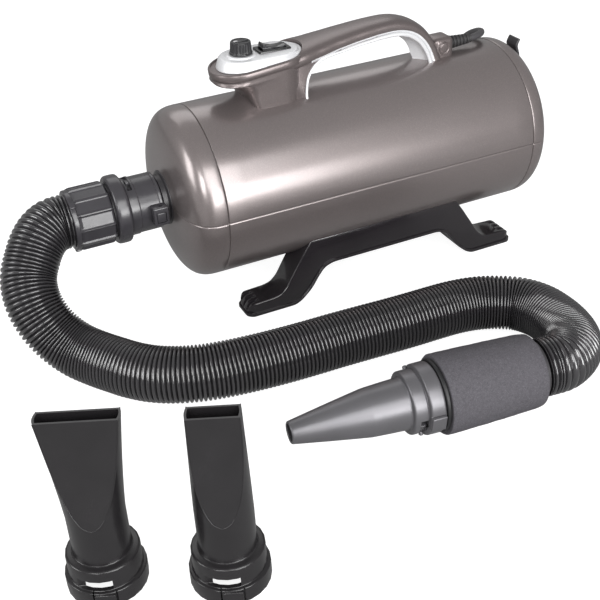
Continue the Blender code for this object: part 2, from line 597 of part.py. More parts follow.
# Edge of the finger opening, from the pod's foot over the top to the rear foot: x, z.
OPENING_EDGE = [
    (-0.0610, 0.2115), (-0.0575, 0.2270), (-0.0490, 0.2370), (-0.0370, 0.2415), (-0.0160, 0.2440), (0.0060, 0.2465),
    (0.0300, 0.2484), (0.0500, 0.2480), (0.0630, 0.2440), (0.0730, 0.2370), (0.0800, 0.2280), (0.0855, 0.2170),
    (0.0868, 0.2140),
]
PANEL = Matrix.Translation(PANEL_AT) @ Matrix.Rotation(PANEL_TILT, 4, "Y")
FACE = Matrix.Translation(FACE_AT) @ Matrix.Rotation(FACE_TILT, 4, "Y")


def grip_rings(count=16):
    rings = []
    for i, (x, z, half_h, half_w) in enumerate(GRIP):
        x0, z0 = GRIP[max(i - 1, 0)][:2]
        x1, z1 = GRIP[min(i + 1, len(GRIP) - 1)][:2]
        along = Vector((x1 - x0, 0, z1 - z0)).normalized()
        out = Vector((-along.z, 0, along.x))
        rings.append([Vector((x, 0, z)) + Vector((0, u, 0)) + out * v
                      for u, v in oval(half_w, half_h, 2.8, count)])
    return rings


def pod_outline(inset=0.0):
    return stadium(0.1000 - 2 * inset, 2 * POD_HALF_W - 2 * inset, 10)


def handle():
    """Grip, control pod and cord block in one moulding, cut to sit on the barrel."""
    pod = outline("handle", [(x - 0.0005, y) for x, y in pod_outline()], 0.0600, "handle_paint",
                  at(PANEL_AT[0], 0, 0.2205))
    arch = [(-0.1600, 0.1900), (-0.1155, 0.1900), (-0.1155, 0.2073), (-0.1175, 0.2150), (-0.1210, 0.2225),
            (-0.1270, 0.2282), (-0.1350, 0.2326), (-0.1430, 0.2352), (-0.1600, 0.2350)]
    cut(pod, side_plate("front_arch", arch, 0, 0.08),
        block("above_panel", (0.16, 0.10, 0.06), matrix=PANEL @ at(0, 0, 0.0300)))
    join(pod, as_mesh(loft("grip", grip_rings())),
         block("cord_block", (0.0250, 0.0250, 0.0420), matrix=at(0.1085, 0, 0.2120), round_by=0.0035))
    low_pocket = block("switch_pocket", (0.0440, 0.0500, 0.0700), matrix=at(-0.0840, 0, 0.2200))
    top_pocket = outline("panel_pocket", stadium(0.0760, 0.0520), 0.0300, None, PANEL @ at(-0.0005, 0, 0.0020))
    lead_way = rod("lead_way", LEAD_R + GAP, 0.0500, matrix=along_x(0.1340, LEAD_Z), sides=16)
    panel_room = outline("panel_room", stadium(0.0950, 0.0590), 0.0300, None, PANEL @ at(0, 0, 0.0151))
    cut(pod, panel_room, low_pocket, top_pocket, lead_way, barrel_cutter())
    return pod


def handle_trim(side):
    """Bright bead that edges the finger opening on one side."""
    points = []
    for i, (x, z) in enumerate(OPENING_EDGE):
        share = i / (len(OPENING_EDGE) - 1)
        points.append((x, side * (0.0250 - 0.0110 * share ** 0.7), z - 0.0000))
    lift = [Vector(p) for p in points]
    path = []
    for i, p in enumerate(lift):
        a, b = lift[max(i - 1, 0)], lift[min(i + 1, len(lift) - 1)]
        along = (b - a).normalized()
        path.append(p + Vector((along.z, 0, -along.x)) * 0.0020)
    word = "near" if side < 0 else "far"
    trim = tube(f"handle_trim_{word}", smooth_path(path, 0.009), 0.0011, "silver_trim", sides=1)
    return cut(trim, barrel_cutter(f"trim_barrel_{word}", BODY_R + GAP))


SWITCH_X = 0.0330                   # on the panel's face, from the knob


def wedge_ring(length, width, below=None, low=GAP, steps=10):
    """Ring of the wedge-shaped panel, on its seat or at a height under its top face."""
    out = []
    for x, y in stadium(length, width, steps):
        x += 0.0025
        if below is not None:
            spot = PANEL.inverted() @ FACE @ Vector((x + 0.0160, y, -below))
            low = max(spot.z, 0.0014 - 0.5 * below)
        out.append((x, y, low))
    return out


def controls():
    frame, face = empty("panel_frame", PANEL), empty("face_frame", FACE)
    panel = loft("control_panel", [wedge_ring(0.0860, 0.0500), wedge_ring(0.0860, 0.0500, low=0.0008),
                                   wedge_ring(0.0806, 0.0446, 0.0010), wedge_ring(0.0778, 0.0418, 0.0)],
                 "silver_trim", None, frame)
    under = outline("panel_hollow", stadium(0.0440, 0.0340), 0.0060, None, at(-0.0100, 0, 0.0010), frame)
    cut(panel, under, rod("knob_hole", 0.0045, 0.04, matrix=at(0, 0, 0), parent=face, sides=20),
        block("switch_hole", (0.0286, 0.0136, 0.03), matrix=at(SWITCH_X, 0, 0), parent=face))
    turned("dial_ring", [(0.0140, 0.0014), (0.0148, 0.0008), (0.0148, GAP), (0.0060, GAP), (0.0060, 0.0014)],
           "silver_trim", None, face, 24)
    knob(empty("knob_axis", FACE))
    switch(face)
    turned("speed_potentiometer", [(0.0085, -0.0108), (0.0085, -0.0196), (0.0034, -0.0196), (0.0034, -0.0108)],
           "steel", None, face, 20)
    board = block("control_board", (0.0380, 0.0440, 0.0016), "board", at(-0.0840, 0, 0.2225))
    join(board, block("board_capacitor", (0.0120, 0.0090, 0.0060), matrix=at(-0.0920, 0.0130, 0.2260)))


def knob(axis):
    """Ribbed knob with its stem, and a pointer groove across the top."""
    count, low = 14, 0.0018
    ribs = []
    for i in range(count):
        for r, shift in ((0.0108, -0.25), (0.0108, 0.15), (0.0101, 0.25), (0.0101, 0.65)):
            a = 2 * pi * (i + shift) / count
            ribs.append((r * cos(a), r * sin(a)))
    body = outline("speed_knob", ribs, 0.0104, "black_plastic", at(0, 0, low + 0.0052), axis)
    stem = rod("knob_stem", 0.0031, 0.0200, matrix=at(0, 0, low - 0.0090), parent=axis, sides=16)
    cap = rod("knob_cap", 0.0098, 0.0024, matrix=at(0, 0, low + 0.0114), parent=axis, sides=28, top=0.0088)
    join(body, stem, cap)
    cut(body, block("knob_pointer", (0.0090, 0.0012, 0.0012), matrix=at(-0.0050, 0, low + 0.0126), parent=axis))
    return body


def switch(frame):
    bezel = block("switch_frame", (0.0340, 0.0190, 0.0024), "black_plastic",
                  at(SWITCH_X, 0, GAP + 0.0012), frame, round_by=0.0006)
    join(bezel, block("switch_body", (0.0280, 0.0130, 0.0230), matrix=at(SWITCH_X, 0, -0.0105), parent=frame))
    cut(bezel, block("switch_mouth", (0.0264, 0.0121, 0.0200), matrix=at(SWITCH_X, 0, 0.0040), parent=frame))
    pivot = FACE @ at(SWITCH_X, 0, 0.0010)
    axis = empty("rocker_axis", pivot @ Matrix.Rotation(ROCKER_REST, 4, "Y"))
    side = [(-0.0112, -0.0020), (0.0112, -0.0020), (0.0128, 0.0012), (0.0124, 0.0058), (0.0060, 0.0034),
            (0.0000, 0.0026), (-0.0060, 0.0034), (-0.0124, 0.0058), (-0.0128, 0.0012)]
    rocker = outline("rocker_switch", side, 0.0118, "black_plastic", Matrix.Rotation(pi / 2, 4, "X"), axis)
    bevel(rocker, 0.0005, 1)
    return rocker


# ---- mains lead ---------------------------------------------------------------------------
LEAD_Z = 0.2225                     # height at which the lead leaves its block
GLAND_X = 0.1213                    # rear face of the cord block
RELIEF_LEN = 0.0270
COIL_AT = (0.0450, 0.1750)          # the spare lead lies coiled behind the barrel
COIL_R, COIL_BAND, COIL_H = 0.0410, 0.0225, 0.0225
LEAD_ROUTE = [
    (GLAND_X + RELIEF_LEN + 0.0030, 0.0, LEAD_Z), (0.1580, 0.0015, 0.2228), (0.1660, 0.0060, 0.2226),
    (0.1725, 0.0150, 0.2210), (0.1760, 0.0290, 0.2165), (0.1772, 0.0450, 0.2085), (0.1765, 0.0620, 0.1950),
    (0.1748, 0.0780, 0.1750), (0.1722, 0.0905, 0.1500), (0.1692, 0.0990, 0.1220), (0.1650, 0.1050, 0.0930),
    (0.1600, 0.1100, 0.0650), (0.1540, 0.1150, 0.0390), (0.1450, 0.1210, 0.0180), (0.1330, 0.1280, 0.0065),
    (0.1200, 0.1350, 0.0041), (0.1100, 0.1440, 0.0041), (0.1040, 0.1560, 0.0041), (0.1016, 0.1690, 0.0041),
]
LEAD_END = (COIL_AT[0] + COIL_R + COIL_BAND / 2 + LEAD_R + GAP, COIL_AT[1], 0.0041)


def strain_relief():
    """Tapered ribbed sleeve at the cord block's rear face."""
    profile, count = [], 4
    tip = GLAND_X + RELIEF_LEN
    profile.append((LEAD_R + 0.0012, tip))
    for i in range(count):
        far = tip - 0.0015 - i * 0.0056
        r = 0.0054 + 0.0003 * i
        profile += [(r, far), (r, far - 0.0032), (r - 0.0012, far - 0.0034), (r - 0.0012, far - 0.0054)]
    profile += [(0.0072, GLAND_X + GAP + 0.0020), (0.0072, GLAND_X + GAP), (LEAD_R - 0.0020, GLAND_X + GAP),
                (LEAD_R - 0.0020, tip)]
    return turned("strain_relief", profile, "rubber", along_x(0, LEAD_Z), steps=12)


def mains_lead():
    strain_relief()
    route = smooth_path(LEAD_ROUTE + [LEAD_END], 0.017)
    tube("mains_lead", [Vector((GLAND_X + RELIEF_LEN + GAP, 0, LEAD_Z))] + route, LEAD_R, "rubber", sides=2)
    turned("lead_coil", [(COIL_R + COIL_BAND / 2, COIL_H), (COIL_R + COIL_BAND / 2, 0.0004),
                         (COIL_R - COIL_BAND / 2, 0.0004), (COIL_R - COIL_BAND / 2, COIL_H)],
           "rubber", at(*COIL_AT, 0), steps=28)
    plug()


def plug():
    """Moulded three-blade plug, lying on top of the coil along its outer turn."""
    matrix = at(COIL_AT[0] - 0.0100, COIL_AT[1] + COIL_R, COIL_H + 0.0132) @ Matrix.Rotation(pi, 4, "Z")
    rings = [[(x, y, z) for y, z in oval(half, high, 3.0, 16)]
             for x, half, high in ((-0.0180, 0.0062, 0.0060), (-0.0060, 0.0110, 0.0105),
                                   (0.0060, 0.0125, 0.0128), (0.0160, 0.0125, 0.0128))]
    body = loft("mains_plug", rings, "rubber", matrix)
    for y in (-0.0064, 0.0064):
        join(body, block(f"blade_{y:+.3f}", (0.0200, 0.0015, 0.0062), matrix=matrix @ at(0.0250, y, 0.0030)))
    join(body, rod("earth_pin", 0.0024, 0.0220, matrix=matrix @ at(0.0260, 0, -0.0070) @ X_TO_Z, sides=12))
    return body


# ---- runners, pads and screws -------------------------------------------------------------
FOOT_TIP, FOOT_HEEL = 0.1620, 0.1040    # foot, from the runners' middle
SCREW_SPOTS = [(RUNNER_X + sx * 0.0520, sy * (RUNNER_Y - 0.0095)) for sx in (-1, 1) for sy in (-1, 1)]


def runner_outline():
    """Half of the side view, tip to middle along the bottom, then back over the top; mirrored for the other half."""
    z0 = PAD_H + 0.0008
    low = [(FOOT_TIP, z0), (FOOT_HEEL + 0.0050, z0), (FOOT_HEEL - 0.0030, z0 + 0.0040), (0.0890, 0.0168),
           (0.0810, 0.0288), (0.0740, 0.0373), (0.0640, 0.0408)]
    high = [(0.0640, 0.0850), (0.0780, 0.0800), (0.0880, 0.0710), (0.0980, 0.0560), (0.1080, 0.0400),
            (0.1170, 0.0250), (0.1240, 0.0185), (0.1320, 0.0165), (FOOT_TIP - 0.0070, 0.0155),
            (FOOT_TIP - 0.0030, 0.0130), (FOOT_TIP, 0.0070)]
    right = low + high
    left = [(-x, z) for x, z in right]
    return [(x + RUNNER_X, z) for x, z in right[7:] + right[:7] + left[:7][::-1] + left[7:][::-1]]


def lip_outline():
    """Flange along the runner's lower edge."""
    z0 = PAD_H
    inner = [(FOOT_TIP + 0.0016, z0), (FOOT_HEEL + 0.0050, z0), (FOOT_HEEL - 0.0030, z0 + 0.0040), (0.0890, 0.0160),
             (0.0810, 0.0280), (0.0740, 0.0365), (0.0640, 0.0400)]
    outer = [(0.0640, 0.0428), (0.0752, 0.0392), (0.0830, 0.0300), (0.0912, 0.0180), (FOOT_HEEL - 0.0015, z0 + 0.0062),
             (FOOT_HEEL + 0.0060, z0 + 0.0034), (FOOT_TIP + 0.0016, z0 + 0.0034)]
    right = inner + outer
    left = [(-x, z) for x, z in right]
    return [(x + RUNNER_X, z) for x, z in right[7:] + right[:7] + left[:7][::-1] + left[7:][::-1]]


def runner(side):
    word = "near" if side < 0 else "far"
    y = side * RUNNER_Y
    piece = side_plate(f"runner_{word}", runner_outline(), y, RUNNER_W - 0.0036, "black_gloss")
    join(piece, side_plate(f"runner_lip_{word}", lip_outline(), y, RUNNER_W))
    for end in (-1, 1):
        for i in (-1, 0, 1):
            cut(piece, block(f"toe_groove_{word}_{end}_{i}", (0.0180, 0.0034, 0.0160),
                             matrix=at(RUNNER_X + end * (FOOT_TIP + 0.0015), y + 0.0082 * i, 0.0190)
                             @ Matrix.Rotation(end * radians(40), 4, "Y")))
        for x in (0.0445,):
            cut(piece, rod(f"pad_seat_{word}_{end}_{x}", 0.0083, 0.0080,
                           matrix=at(RUNNER_X + end * (FOOT_TIP - x), y, PAD_H - 0.0018), sides=16))
    for sx, sy in SCREW_SPOTS:
        if sy * side > 0:
            cut(piece, rod(f"screw_way_{word}_{sx:+.2f}", 0.0026, 0.08, matrix=at(sx, sy, 0.05), sides=12),
                rod(f"screw_seat_{word}_{sx:+.2f}", 0.0048, 0.0120, matrix=at(sx, sy, 0.0380), sides=16))
    return cut(piece, barrel_cutter(f"runner_barrel_{word}"))


def runners():
    for side in (-1, 1):
        runner(side)
        word = "near" if side < 0 else "far"
        for end, place in ((-1, "front"), (1, "rear")):
            rod(f"pad_{word}_{place}", 0.0080, 0.0030, "rubber",
                at(RUNNER_X + end * (FOOT_TIP - 0.0445), side * RUNNER_Y, 0.0015), sides=16)
    for i, (x, y) in enumerate(SCREW_SPOTS):
        screw = rod(f"runner_screw_{i + 1}", 0.0044, 0.0026, "steel", at(x, y, 0.0424), sides=16)
        shank = rod(f"screw_shank_{i}", 0.0021, 0.0150, matrix=at(x, y, 0.0500), sides=12)
        join(screw, shank)
        cut(screw, block(f"screw_slot_{i}", (0.0080, 0.0010, 0.0020), matrix=at(x, y, 0.0410)))


def set_down():
    """Moves the finished set sideways, so that its box without the cords stands over the origin."""
    for obj in (*PARTS.objects, *CUTTERS.objects):
        if not obj.parent:
            obj.location += ORIGIN_SHIFT


def build():
    shells()
    filter_cover()
    latch_tab()
    filter_parts()
    motor()
    air_path()
    outlet()
    collar_and_cuff()
    hose()
    handpiece()
    spare_nozzles()
    handle()
    for side in (-1, 1):
        handle_trim(side)
    controls()
    mains_lead()
    runners()
    set_down()


build()
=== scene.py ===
"""Grooming dryer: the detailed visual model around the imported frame.

Everything below is written from a point on the floor under the middle of the barrel: X along the barrel
with the air outlet at -X, the control side towards -Y, Z up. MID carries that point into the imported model's
own frame.
"""
import json
from math import acos, asin, atan2, cos, pi, radians, sin, tan

import bmesh
import bpy
from mathutils import Matrix, Vector, noise


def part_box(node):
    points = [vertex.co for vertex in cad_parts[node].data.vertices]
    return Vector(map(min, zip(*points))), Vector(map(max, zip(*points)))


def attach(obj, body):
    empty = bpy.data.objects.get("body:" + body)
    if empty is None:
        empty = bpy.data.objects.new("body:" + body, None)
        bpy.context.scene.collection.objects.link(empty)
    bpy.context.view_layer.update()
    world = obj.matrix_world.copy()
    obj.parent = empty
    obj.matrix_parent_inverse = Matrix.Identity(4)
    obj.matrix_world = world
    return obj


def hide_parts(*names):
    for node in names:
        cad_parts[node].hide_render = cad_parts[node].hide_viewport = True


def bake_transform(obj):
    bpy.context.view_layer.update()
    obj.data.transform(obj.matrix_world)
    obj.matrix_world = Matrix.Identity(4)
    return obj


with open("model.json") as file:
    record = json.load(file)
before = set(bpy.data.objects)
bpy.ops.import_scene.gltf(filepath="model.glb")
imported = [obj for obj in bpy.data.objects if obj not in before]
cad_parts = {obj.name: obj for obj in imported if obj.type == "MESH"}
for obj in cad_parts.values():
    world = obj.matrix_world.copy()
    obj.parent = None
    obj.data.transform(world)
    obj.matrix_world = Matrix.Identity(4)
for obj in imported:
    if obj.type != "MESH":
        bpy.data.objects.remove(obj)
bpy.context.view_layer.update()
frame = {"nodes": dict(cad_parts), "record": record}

SHELL_LO, SHELL_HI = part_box("upper_shell")
MID = Vector(((SHELL_LO.x + SHELL_HI.x) / 2, (SHELL_LO.y + SHELL_HI.y) / 2, 0.0))

GAP = 0.0003
BODY_R, HALF, AXIS_Z, WALL = 0.0875, 0.1756, 0.126, 0.0028
FRONT_DEPTH, REAR_DEPTH, CAP_POWER = 0.0365, 0.0285, 3.3
NECK_R, ADAPTER_R, COLLAR_R, CUFF_R, HOSE_R, BORE_R = 0.0245, 0.0285, 0.0345, 0.0298, 0.0268, 0.019
LEAD_R = 0.00375
COVER_R, COVER_X, HINGE_Z = 0.064, HALF + REAR_DEPTH, AXIS_Z + 0.056

BARREL = Matrix.Translation((0, 0, AXIS_Z))
SEAT_RISE = radians(5.0)                # of the control panel's seat, towards the rear
FACE_X, FACE_Z = -0.116, 0.2555        # the knob's middle, on the panel's top face
PANEL = Matrix.Translation((-0.1, 0.0, 0.248)) @ Matrix.Rotation(-SEAT_RISE, 4, "Y")
FACE = Matrix.Translation((FACE_X, 0.0, FACE_Z)) @ Matrix.Rotation(radians(1.5), 4, "Y")
HAND = Matrix.Translation((0.0167, -0.3229, 0.0363)) @ Matrix.Rotation(atan2(0.11186, -0.99372), 4, "Z")
UPRIGHT = Matrix.Rotation(-pi / 2, 4, "Y")      # turns a lathe's X axis up

AMBIENT, FLOOR_TONE, FLOOR_GLOW = 0.36, 0.36, 0.9      # the glow is for the camera only
CAMERA_AT, LENS = (-0.48629, -0.94352, 0.61024), 64.45
CAMERA_AXES = (0.90046, -0.43228, -0.04806), (0.26819, 0.46484, 0.8438), (-0.34241, -0.7727, 0.5345)


def link(name, data):
    obj = bpy.data.objects.new(name, data)
    bpy.context.scene.collection.objects.link(obj)
    return obj


def at(x, y, z):
    return Matrix.Translation((x, y, z))


def about_x(angle):
    return Matrix.Rotation(angle, 4, "X")


def clamp(value):
    return min(1.0, max(0.0, value))


def ease(value):
    """Smooth step from 0 to 1."""
    t = clamp(value)
    return t * t * (3 - 2 * t)


# ---- camera and light ---------------------------------------------------------------------
def camera():
    """Fitted to the barrel's seams, end caps and feet."""
    data = bpy.data.cameras.new("camera")
    data.lens, data.sensor_width, data.clip_end = LENS, 36.0, 50.0
    obj = link("camera", data)
    obj.matrix_world = Matrix.Translation(MID + Vector(CAMERA_AT)) @ Matrix(CAMERA_AXES).transposed().to_4x4()
    bpy.context.scene.camera = obj


def softbox(name, place, aim_z, size, power):
    """A rectangular light that faces a point over the middle of the floor."""
    data = bpy.data.lights.new(name, "AREA")
    data.shape, data.size, data.size_y = "RECTANGLE", *size
    data.energy = power
    way = Vector(place) - Vector((0.0, 0.0, aim_z))
    link(name, data).matrix_world = (Matrix.Translation(MID + Vector(place))
                                     @ way.to_track_quat("Z", "Y").to_matrix().to_4x4())


def studio():
    world = bpy.data.worlds.new("studio")
    world.use_nodes = True
    tree = world.node_tree
    backdrop, seen = tree.nodes["Background"], tree.nodes.new("ShaderNodeLightPath")
    backdrop.inputs["Color"].default_value = (1, 1, 1, 1)
    bright = tree.nodes.new("ShaderNodeMapRange")       # white where the camera sees it, dimmer as a light
    bright.inputs["To Min"].default_value, bright.inputs["To Max"].default_value = AMBIENT, 1.0
    tree.links.new(seen.outputs["Is Camera Ray"], bright.inputs["Value"])
    tree.links.new(bright.outputs["Result"], backdrop.inputs["Strength"])
    bpy.context.scene.world = world
    bpy.context.scene.view_settings.view_transform = "Standard"
    softbox("key", (0.2, -2.2, 0.48), 0.12, (1.2, 0.75), 26)
    softbox("key_upper", (-0.1, -2.0, 1.45), 0.12, (1.6, 1.2), 30)
    softbox("near_left", (-1.6, -1.6, 1.1), 0.12, (0.8, 0.9), 20)
    softbox("back", (0.2, 1.9, 1.9), 0.1, (2.6, 1.2), 11)
    softbox("left", (-2.2, 0.1, 0.8), 0.1, (0.8, 1.0), 14)
    mesh = bpy.data.meshes.new("floor")
    mesh.from_pydata([(x, y, 0) for x, y in ((-9, -9), (9, -9), (9, 9), (-9, 9))], [], [(0, 1, 2, 3)])
    floor = link("floor", mesh)
    floor.location = (0, 0, -0.0002)
    white = surface("floor_white", [FLOOR_TONE] * 3, 0.9, spec=0.0, vary=0.01, vary_scale=1.5)
    shader, seen = white.node_tree.nodes["Principled BSDF"], white.node_tree.nodes.new("ShaderNodeLightPath")
    shader.inputs["Emission Color"].default_value = (FLOOR_GLOW, FLOOR_GLOW, FLOOR_GLOW, 1)
    white.node_tree.links.new(seen.outputs["Is Camera Ray"], shader.inputs["Emission Strength"])
    mesh.materials.append(white)


# ---- materials ----------------------------------------------------------------------------
def surface(name, colour, rough, metal=0.0, coat=0.0, coat_rough=0.06, spec=0.5, vary=0.06, vary_scale=40.0,
            rough_vary=0.04, grain=0.0, grain_scale=900.0, fleck=None, fleck_scale=1800.0, fleck_share=0.5):
    """A moulded or painted surface: slow colour change, fine flecks, uneven gloss and a fine grain."""
    mat = bpy.data.materials.new(name)
    mat.use_nodes = True
    nodes, links = mat.node_tree.nodes, mat.node_tree.links
    shader = nodes["Principled BSDF"]
    shader.inputs["Metallic"].default_value = metal
    shader.inputs["Coat Weight"].default_value = coat
    shader.inputs["Coat Roughness"].default_value = coat_rough
    shader.inputs["Specular IOR Level"].default_value = spec
    place = nodes.new("ShaderNodeTexCoord")

    def cloud(scale, detail):
        node = nodes.new("ShaderNodeTexNoise")
        node.inputs["Scale"].default_value = scale
        node.inputs["Detail"].default_value = detail
        links.new(place.outputs["Object"], node.inputs["Vector"])
        return node.outputs["Fac"]

    def ramp(fac, low, high, start=0.3, end=0.7):
        node = nodes.new("ShaderNodeValToRGB")
        node.color_ramp.elements[0].position, node.color_ramp.elements[1].position = start, end
        node.color_ramp.elements[0].color, node.color_ramp.elements[1].color = (*low, 1), (*high, 1)
        links.new(fac, node.inputs["Fac"])
        return node.outputs["Color"]

    tone = ramp(cloud(vary_scale, 3.0), [c * (1 - vary) for c in colour], [c * (1 + vary) for c in colour])
    if fleck:
        mix = nodes.new("ShaderNodeMix")
        mix.data_type = "RGBA"
        mask = ramp(cloud(fleck_scale, 1.0), (0, 0, 0), (1, 1, 1), fleck_share, fleck_share + 0.12)
        links.new(mask, mix.inputs[0])
        links.new(tone, mix.inputs[6])
        mix.inputs[7].default_value = (*fleck, 1)
        tone = mix.outputs[2]
    links.new(tone, shader.inputs["Base Color"])
    spread = nodes.new("ShaderNodeMapRange")
    spread.inputs["To Min"].default_value = max(0.02, rough - rough_vary)
    spread.inputs["To Max"].default_value = min(1.0, rough + rough_vary)
    links.new(cloud(vary_scale * 2.3, 4.0), spread.inputs["Value"])
    links.new(spread.outputs["Result"], shader.inputs["Roughness"])
    if grain:
        bump = nodes.new("ShaderNodeBump")
        bump.inputs["Strength"].default_value = grain
        bump.inputs["Distance"].default_value = 0.0004
        links.new(cloud(grain_scale, 2.0), bump.inputs["Height"])
        links.new(bump.outputs["Normal"], shader.inputs["Normal"])
    return mat


LOOKS = {
    "taupe_metallic": dict(colour=(0.235, 0.205, 0.202), rough=0.3, metal=0.66, coat=0.7, coat_rough=0.16,
        vary=0.03, vary_scale=9, rough_vary=0.02, fleck=(0.33, 0.285, 0.28), fleck_scale=2600,
        fleck_share=0.56, grain=0.02, grain_scale=2600),
    "taupe_satin": dict(colour=(0.185, 0.156, 0.154), rough=0.36, metal=0.72, coat=0.25, coat_rough=0.2,
        vary=0.03, vary_scale=14, rough_vary=0.03, fleck=(0.28, 0.25, 0.24), fleck_scale=2600,
        fleck_share=0.57, grain=0.03, grain_scale=2200),
    "silver_paint": dict(colour=(0.74, 0.745, 0.76), rough=0.38, metal=0.3, coat=0.2, coat_rough=0.15,
        vary=0.02, vary_scale=25, fleck=(0.92, 0.92, 0.94), fleck_scale=2800, fleck_share=0.58),
    "runner_black": dict(colour=(0.016, 0.014, 0.016), rough=0.15, coat=0.45, vary=0.12, vary_scale=20,
        rough_vary=0.05, grain=0.05, grain_scale=1100),
    "moulded_black": dict(colour=(0.036, 0.034, 0.037), rough=0.36, vary=0.1, vary_scale=50,
        rough_vary=0.06, grain=0.1, grain_scale=1500),
    "moulded_charcoal": dict(colour=(0.04, 0.038, 0.043), rough=0.24, spec=0.7, vary=0.08, vary_scale=50,
        rough_vary=0.06, grain=0.08, grain_scale=1600),
    "hose_black": dict(colour=(0.026, 0.025, 0.027), rough=0.17, spec=0.8, coat=0.8, coat_rough=0.1,
        vary=0.1, vary_scale=30, rough_vary=0.06, grain=0.05, grain_scale=900),
    "foam_grey": dict(colour=(0.072, 0.068, 0.077), rough=0.8, spec=0.35, vary=0.16, vary_scale=500,
        rough_vary=0.04, grain=0.8, grain_scale=2000, fleck=(0.15, 0.145, 0.16), fleck_scale=2200,
        fleck_share=0.58),
    "soft_rubber": dict(colour=(0.03, 0.029, 0.03), rough=0.55, vary=0.12, vary_scale=60, rough_vary=0.08,
        grain=0.12, grain_scale=1200),
    "bright_steel": dict(colour=(0.6, 0.6, 0.61), rough=0.28, metal=1.0, vary=0.05, vary_scale=90,
        rough_vary=0.08, grain=0.05, grain_scale=1500),
    "copper_winding": dict(colour=(0.72, 0.35, 0.16), rough=0.35, metal=1.0, vary=0.1, vary_scale=300,
        rough_vary=0.08, grain=0.3, grain_scale=700),
    "cast_alloy": dict(colour=(0.56, 0.57, 0.58), rough=0.44, metal=1.0, vary=0.06, vary_scale=120,
        rough_vary=0.08, grain=0.25, grain_scale=900),
    "circuit_board": dict(colour=(0.03, 0.15, 0.06), rough=0.5, vary=0.1, vary_scale=200,
        fleck=(0.25, 0.3, 0.12), fleck_scale=700, fleck_share=0.64),
    "lead_jacket": dict(colour=(0.058, 0.056, 0.06), rough=0.42, vary=0.06, vary_scale=70, rough_vary=0.06,
        grain=0.06, grain_scale=1500),
    "ring_black": dict(colour=(0.01, 0.01, 0.011), rough=0.5, vary=0.1, vary_scale=60, rough_vary=0.05),
    "nozzle_satin": dict(colour=(0.15, 0.147, 0.156), rough=0.36, metal=0.55, vary=0.05, vary_scale=40,
        rough_vary=0.05, grain=0.05, grain_scale=1700),
    "spare_black": dict(colour=(0.014, 0.013, 0.014), rough=0.24, vary=0.1, vary_scale=40, rough_vary=0.05,
        grain=0.08, grain_scale=1500),
    "knob_black": dict(colour=(0.022, 0.022, 0.024), rough=0.3, coat=0.2, vary=0.08, vary_scale=80,
        rough_vary=0.05, grain=0.06, grain_scale=1700),
    "mark_white": dict(colour=(0.75, 0.75, 0.76), rough=0.5, vary=0.02),
    "switch_black": dict(colour=(0.02, 0.02, 0.021), rough=0.26, vary=0.08, vary_scale=60, rough_vary=0.05),
    "rocker_gloss": dict(colour=(0.014, 0.014, 0.016), rough=0.12, coat=0.5, vary=0.05, vary_scale=60),
}
SLOT_LOOKS = {
    "shell_paint": "taupe_metallic", "handle_paint": "taupe_satin", "silver_trim": "silver_paint",
    "black_gloss": "runner_black", "black_plastic": "moulded_black", "grey_plastic": "moulded_charcoal",
    "hose_plastic": "hose_black", "foam": "foam_grey", "rubber": "soft_rubber", "steel": "bright_steel",
    "copper": "copper_winding", "alloy": "cast_alloy", "board": "circuit_board",
}


def finish(slot, look=None):
    """The material of a slot, or the one of its variants that is named."""
    name = look or SLOT_LOOKS[slot]
    return bpy.data.materials[name] if name in bpy.data.materials else surface(name, **LOOKS[name])


# ---- mesh helpers -------------------------------------------------------------------------
def skin(rings, caps=False, loop=False):
    """Points and faces between rings of equal length."""
    n, count = len(rings[0]), len(rings)
    faces = []
    for a in range(count if loop else count - 1):
        b = (a + 1) % count
        for i in range(n):
            j = (i + 1) % n
            faces.append((a * n + i, a * n + j, b * n + j, b * n + i))
    if caps:
        faces += [tuple(range(n)), tuple(range((count - 1) * n, count * n))]
    return [p for ring in rings for p in ring], faces


def piece(name, data, matrix=None, sharp=34, weld=0.000002):
    """A mesh object from (points, faces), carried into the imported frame."""
    bm = bmesh.new()
    verts = [bm.verts.new(p) for p in data[0]]
    for face in data[1]:
        try:
            bm.faces.new([verts[i] for i in face])
        except ValueError:
            pass
    bmesh.ops.remove_doubles(bm, verts=bm.verts, dist=weld)
    bmesh.ops.dissolve_degenerate(bm, edges=bm.edges, dist=weld)
    bmesh.ops.recalc_face_normals(bm, faces=bm.faces)
    bmesh.ops.transform(bm, matrix=Matrix.Translation(MID) @ (matrix or Matrix.Identity(4)), verts=bm.verts)
    return wrap(name, bm, sharp)


def solid(name, rings, matrix=None, sharp=34):
    """A closed body through rings, capped at both ends."""
    return piece(name, skin(rings, caps=True), matrix, sharp)


def plate(line, low, high):
    """The two rings of a flat plate whose outline is given in XZ."""
    return [[(x, y, z) for x, z in line] for y in (low, high)]


def shade(mesh, sharp):
    mesh.shade_smooth()
    mesh.set_sharp_from_angle(angle=radians(sharp))


def wrap(name, bm, sharp=34):
    mesh = bpy.data.meshes.new(name)
    bm.to_mesh(mesh)
    bm.free()
    shade(mesh, sharp)
    return link(name, mesh)


def apply(obj):
    """Bakes the modifiers into the mesh."""
    bpy.context.view_layer.update()
    graph = bpy.context.evaluated_depsgraph_get()
    mesh = bpy.data.meshes.new_from_object(obj.evaluated_get(graph))
    obj.modifiers.clear()
    obj.data = mesh
    shade(mesh, 34)
    return obj


def carve(obj, *others, operation="DIFFERENCE"):
    """Cuts the other pieces out of this one and removes them."""
    for other in others:
        mod = obj.modifiers.new("cut", "BOOLEAN")
        mod.operation, mod.solver, mod.object = operation, "EXACT", other
    apply(obj)
    for other in others:
        bpy.data.objects.remove(other, do_unlink=True)
    return obj


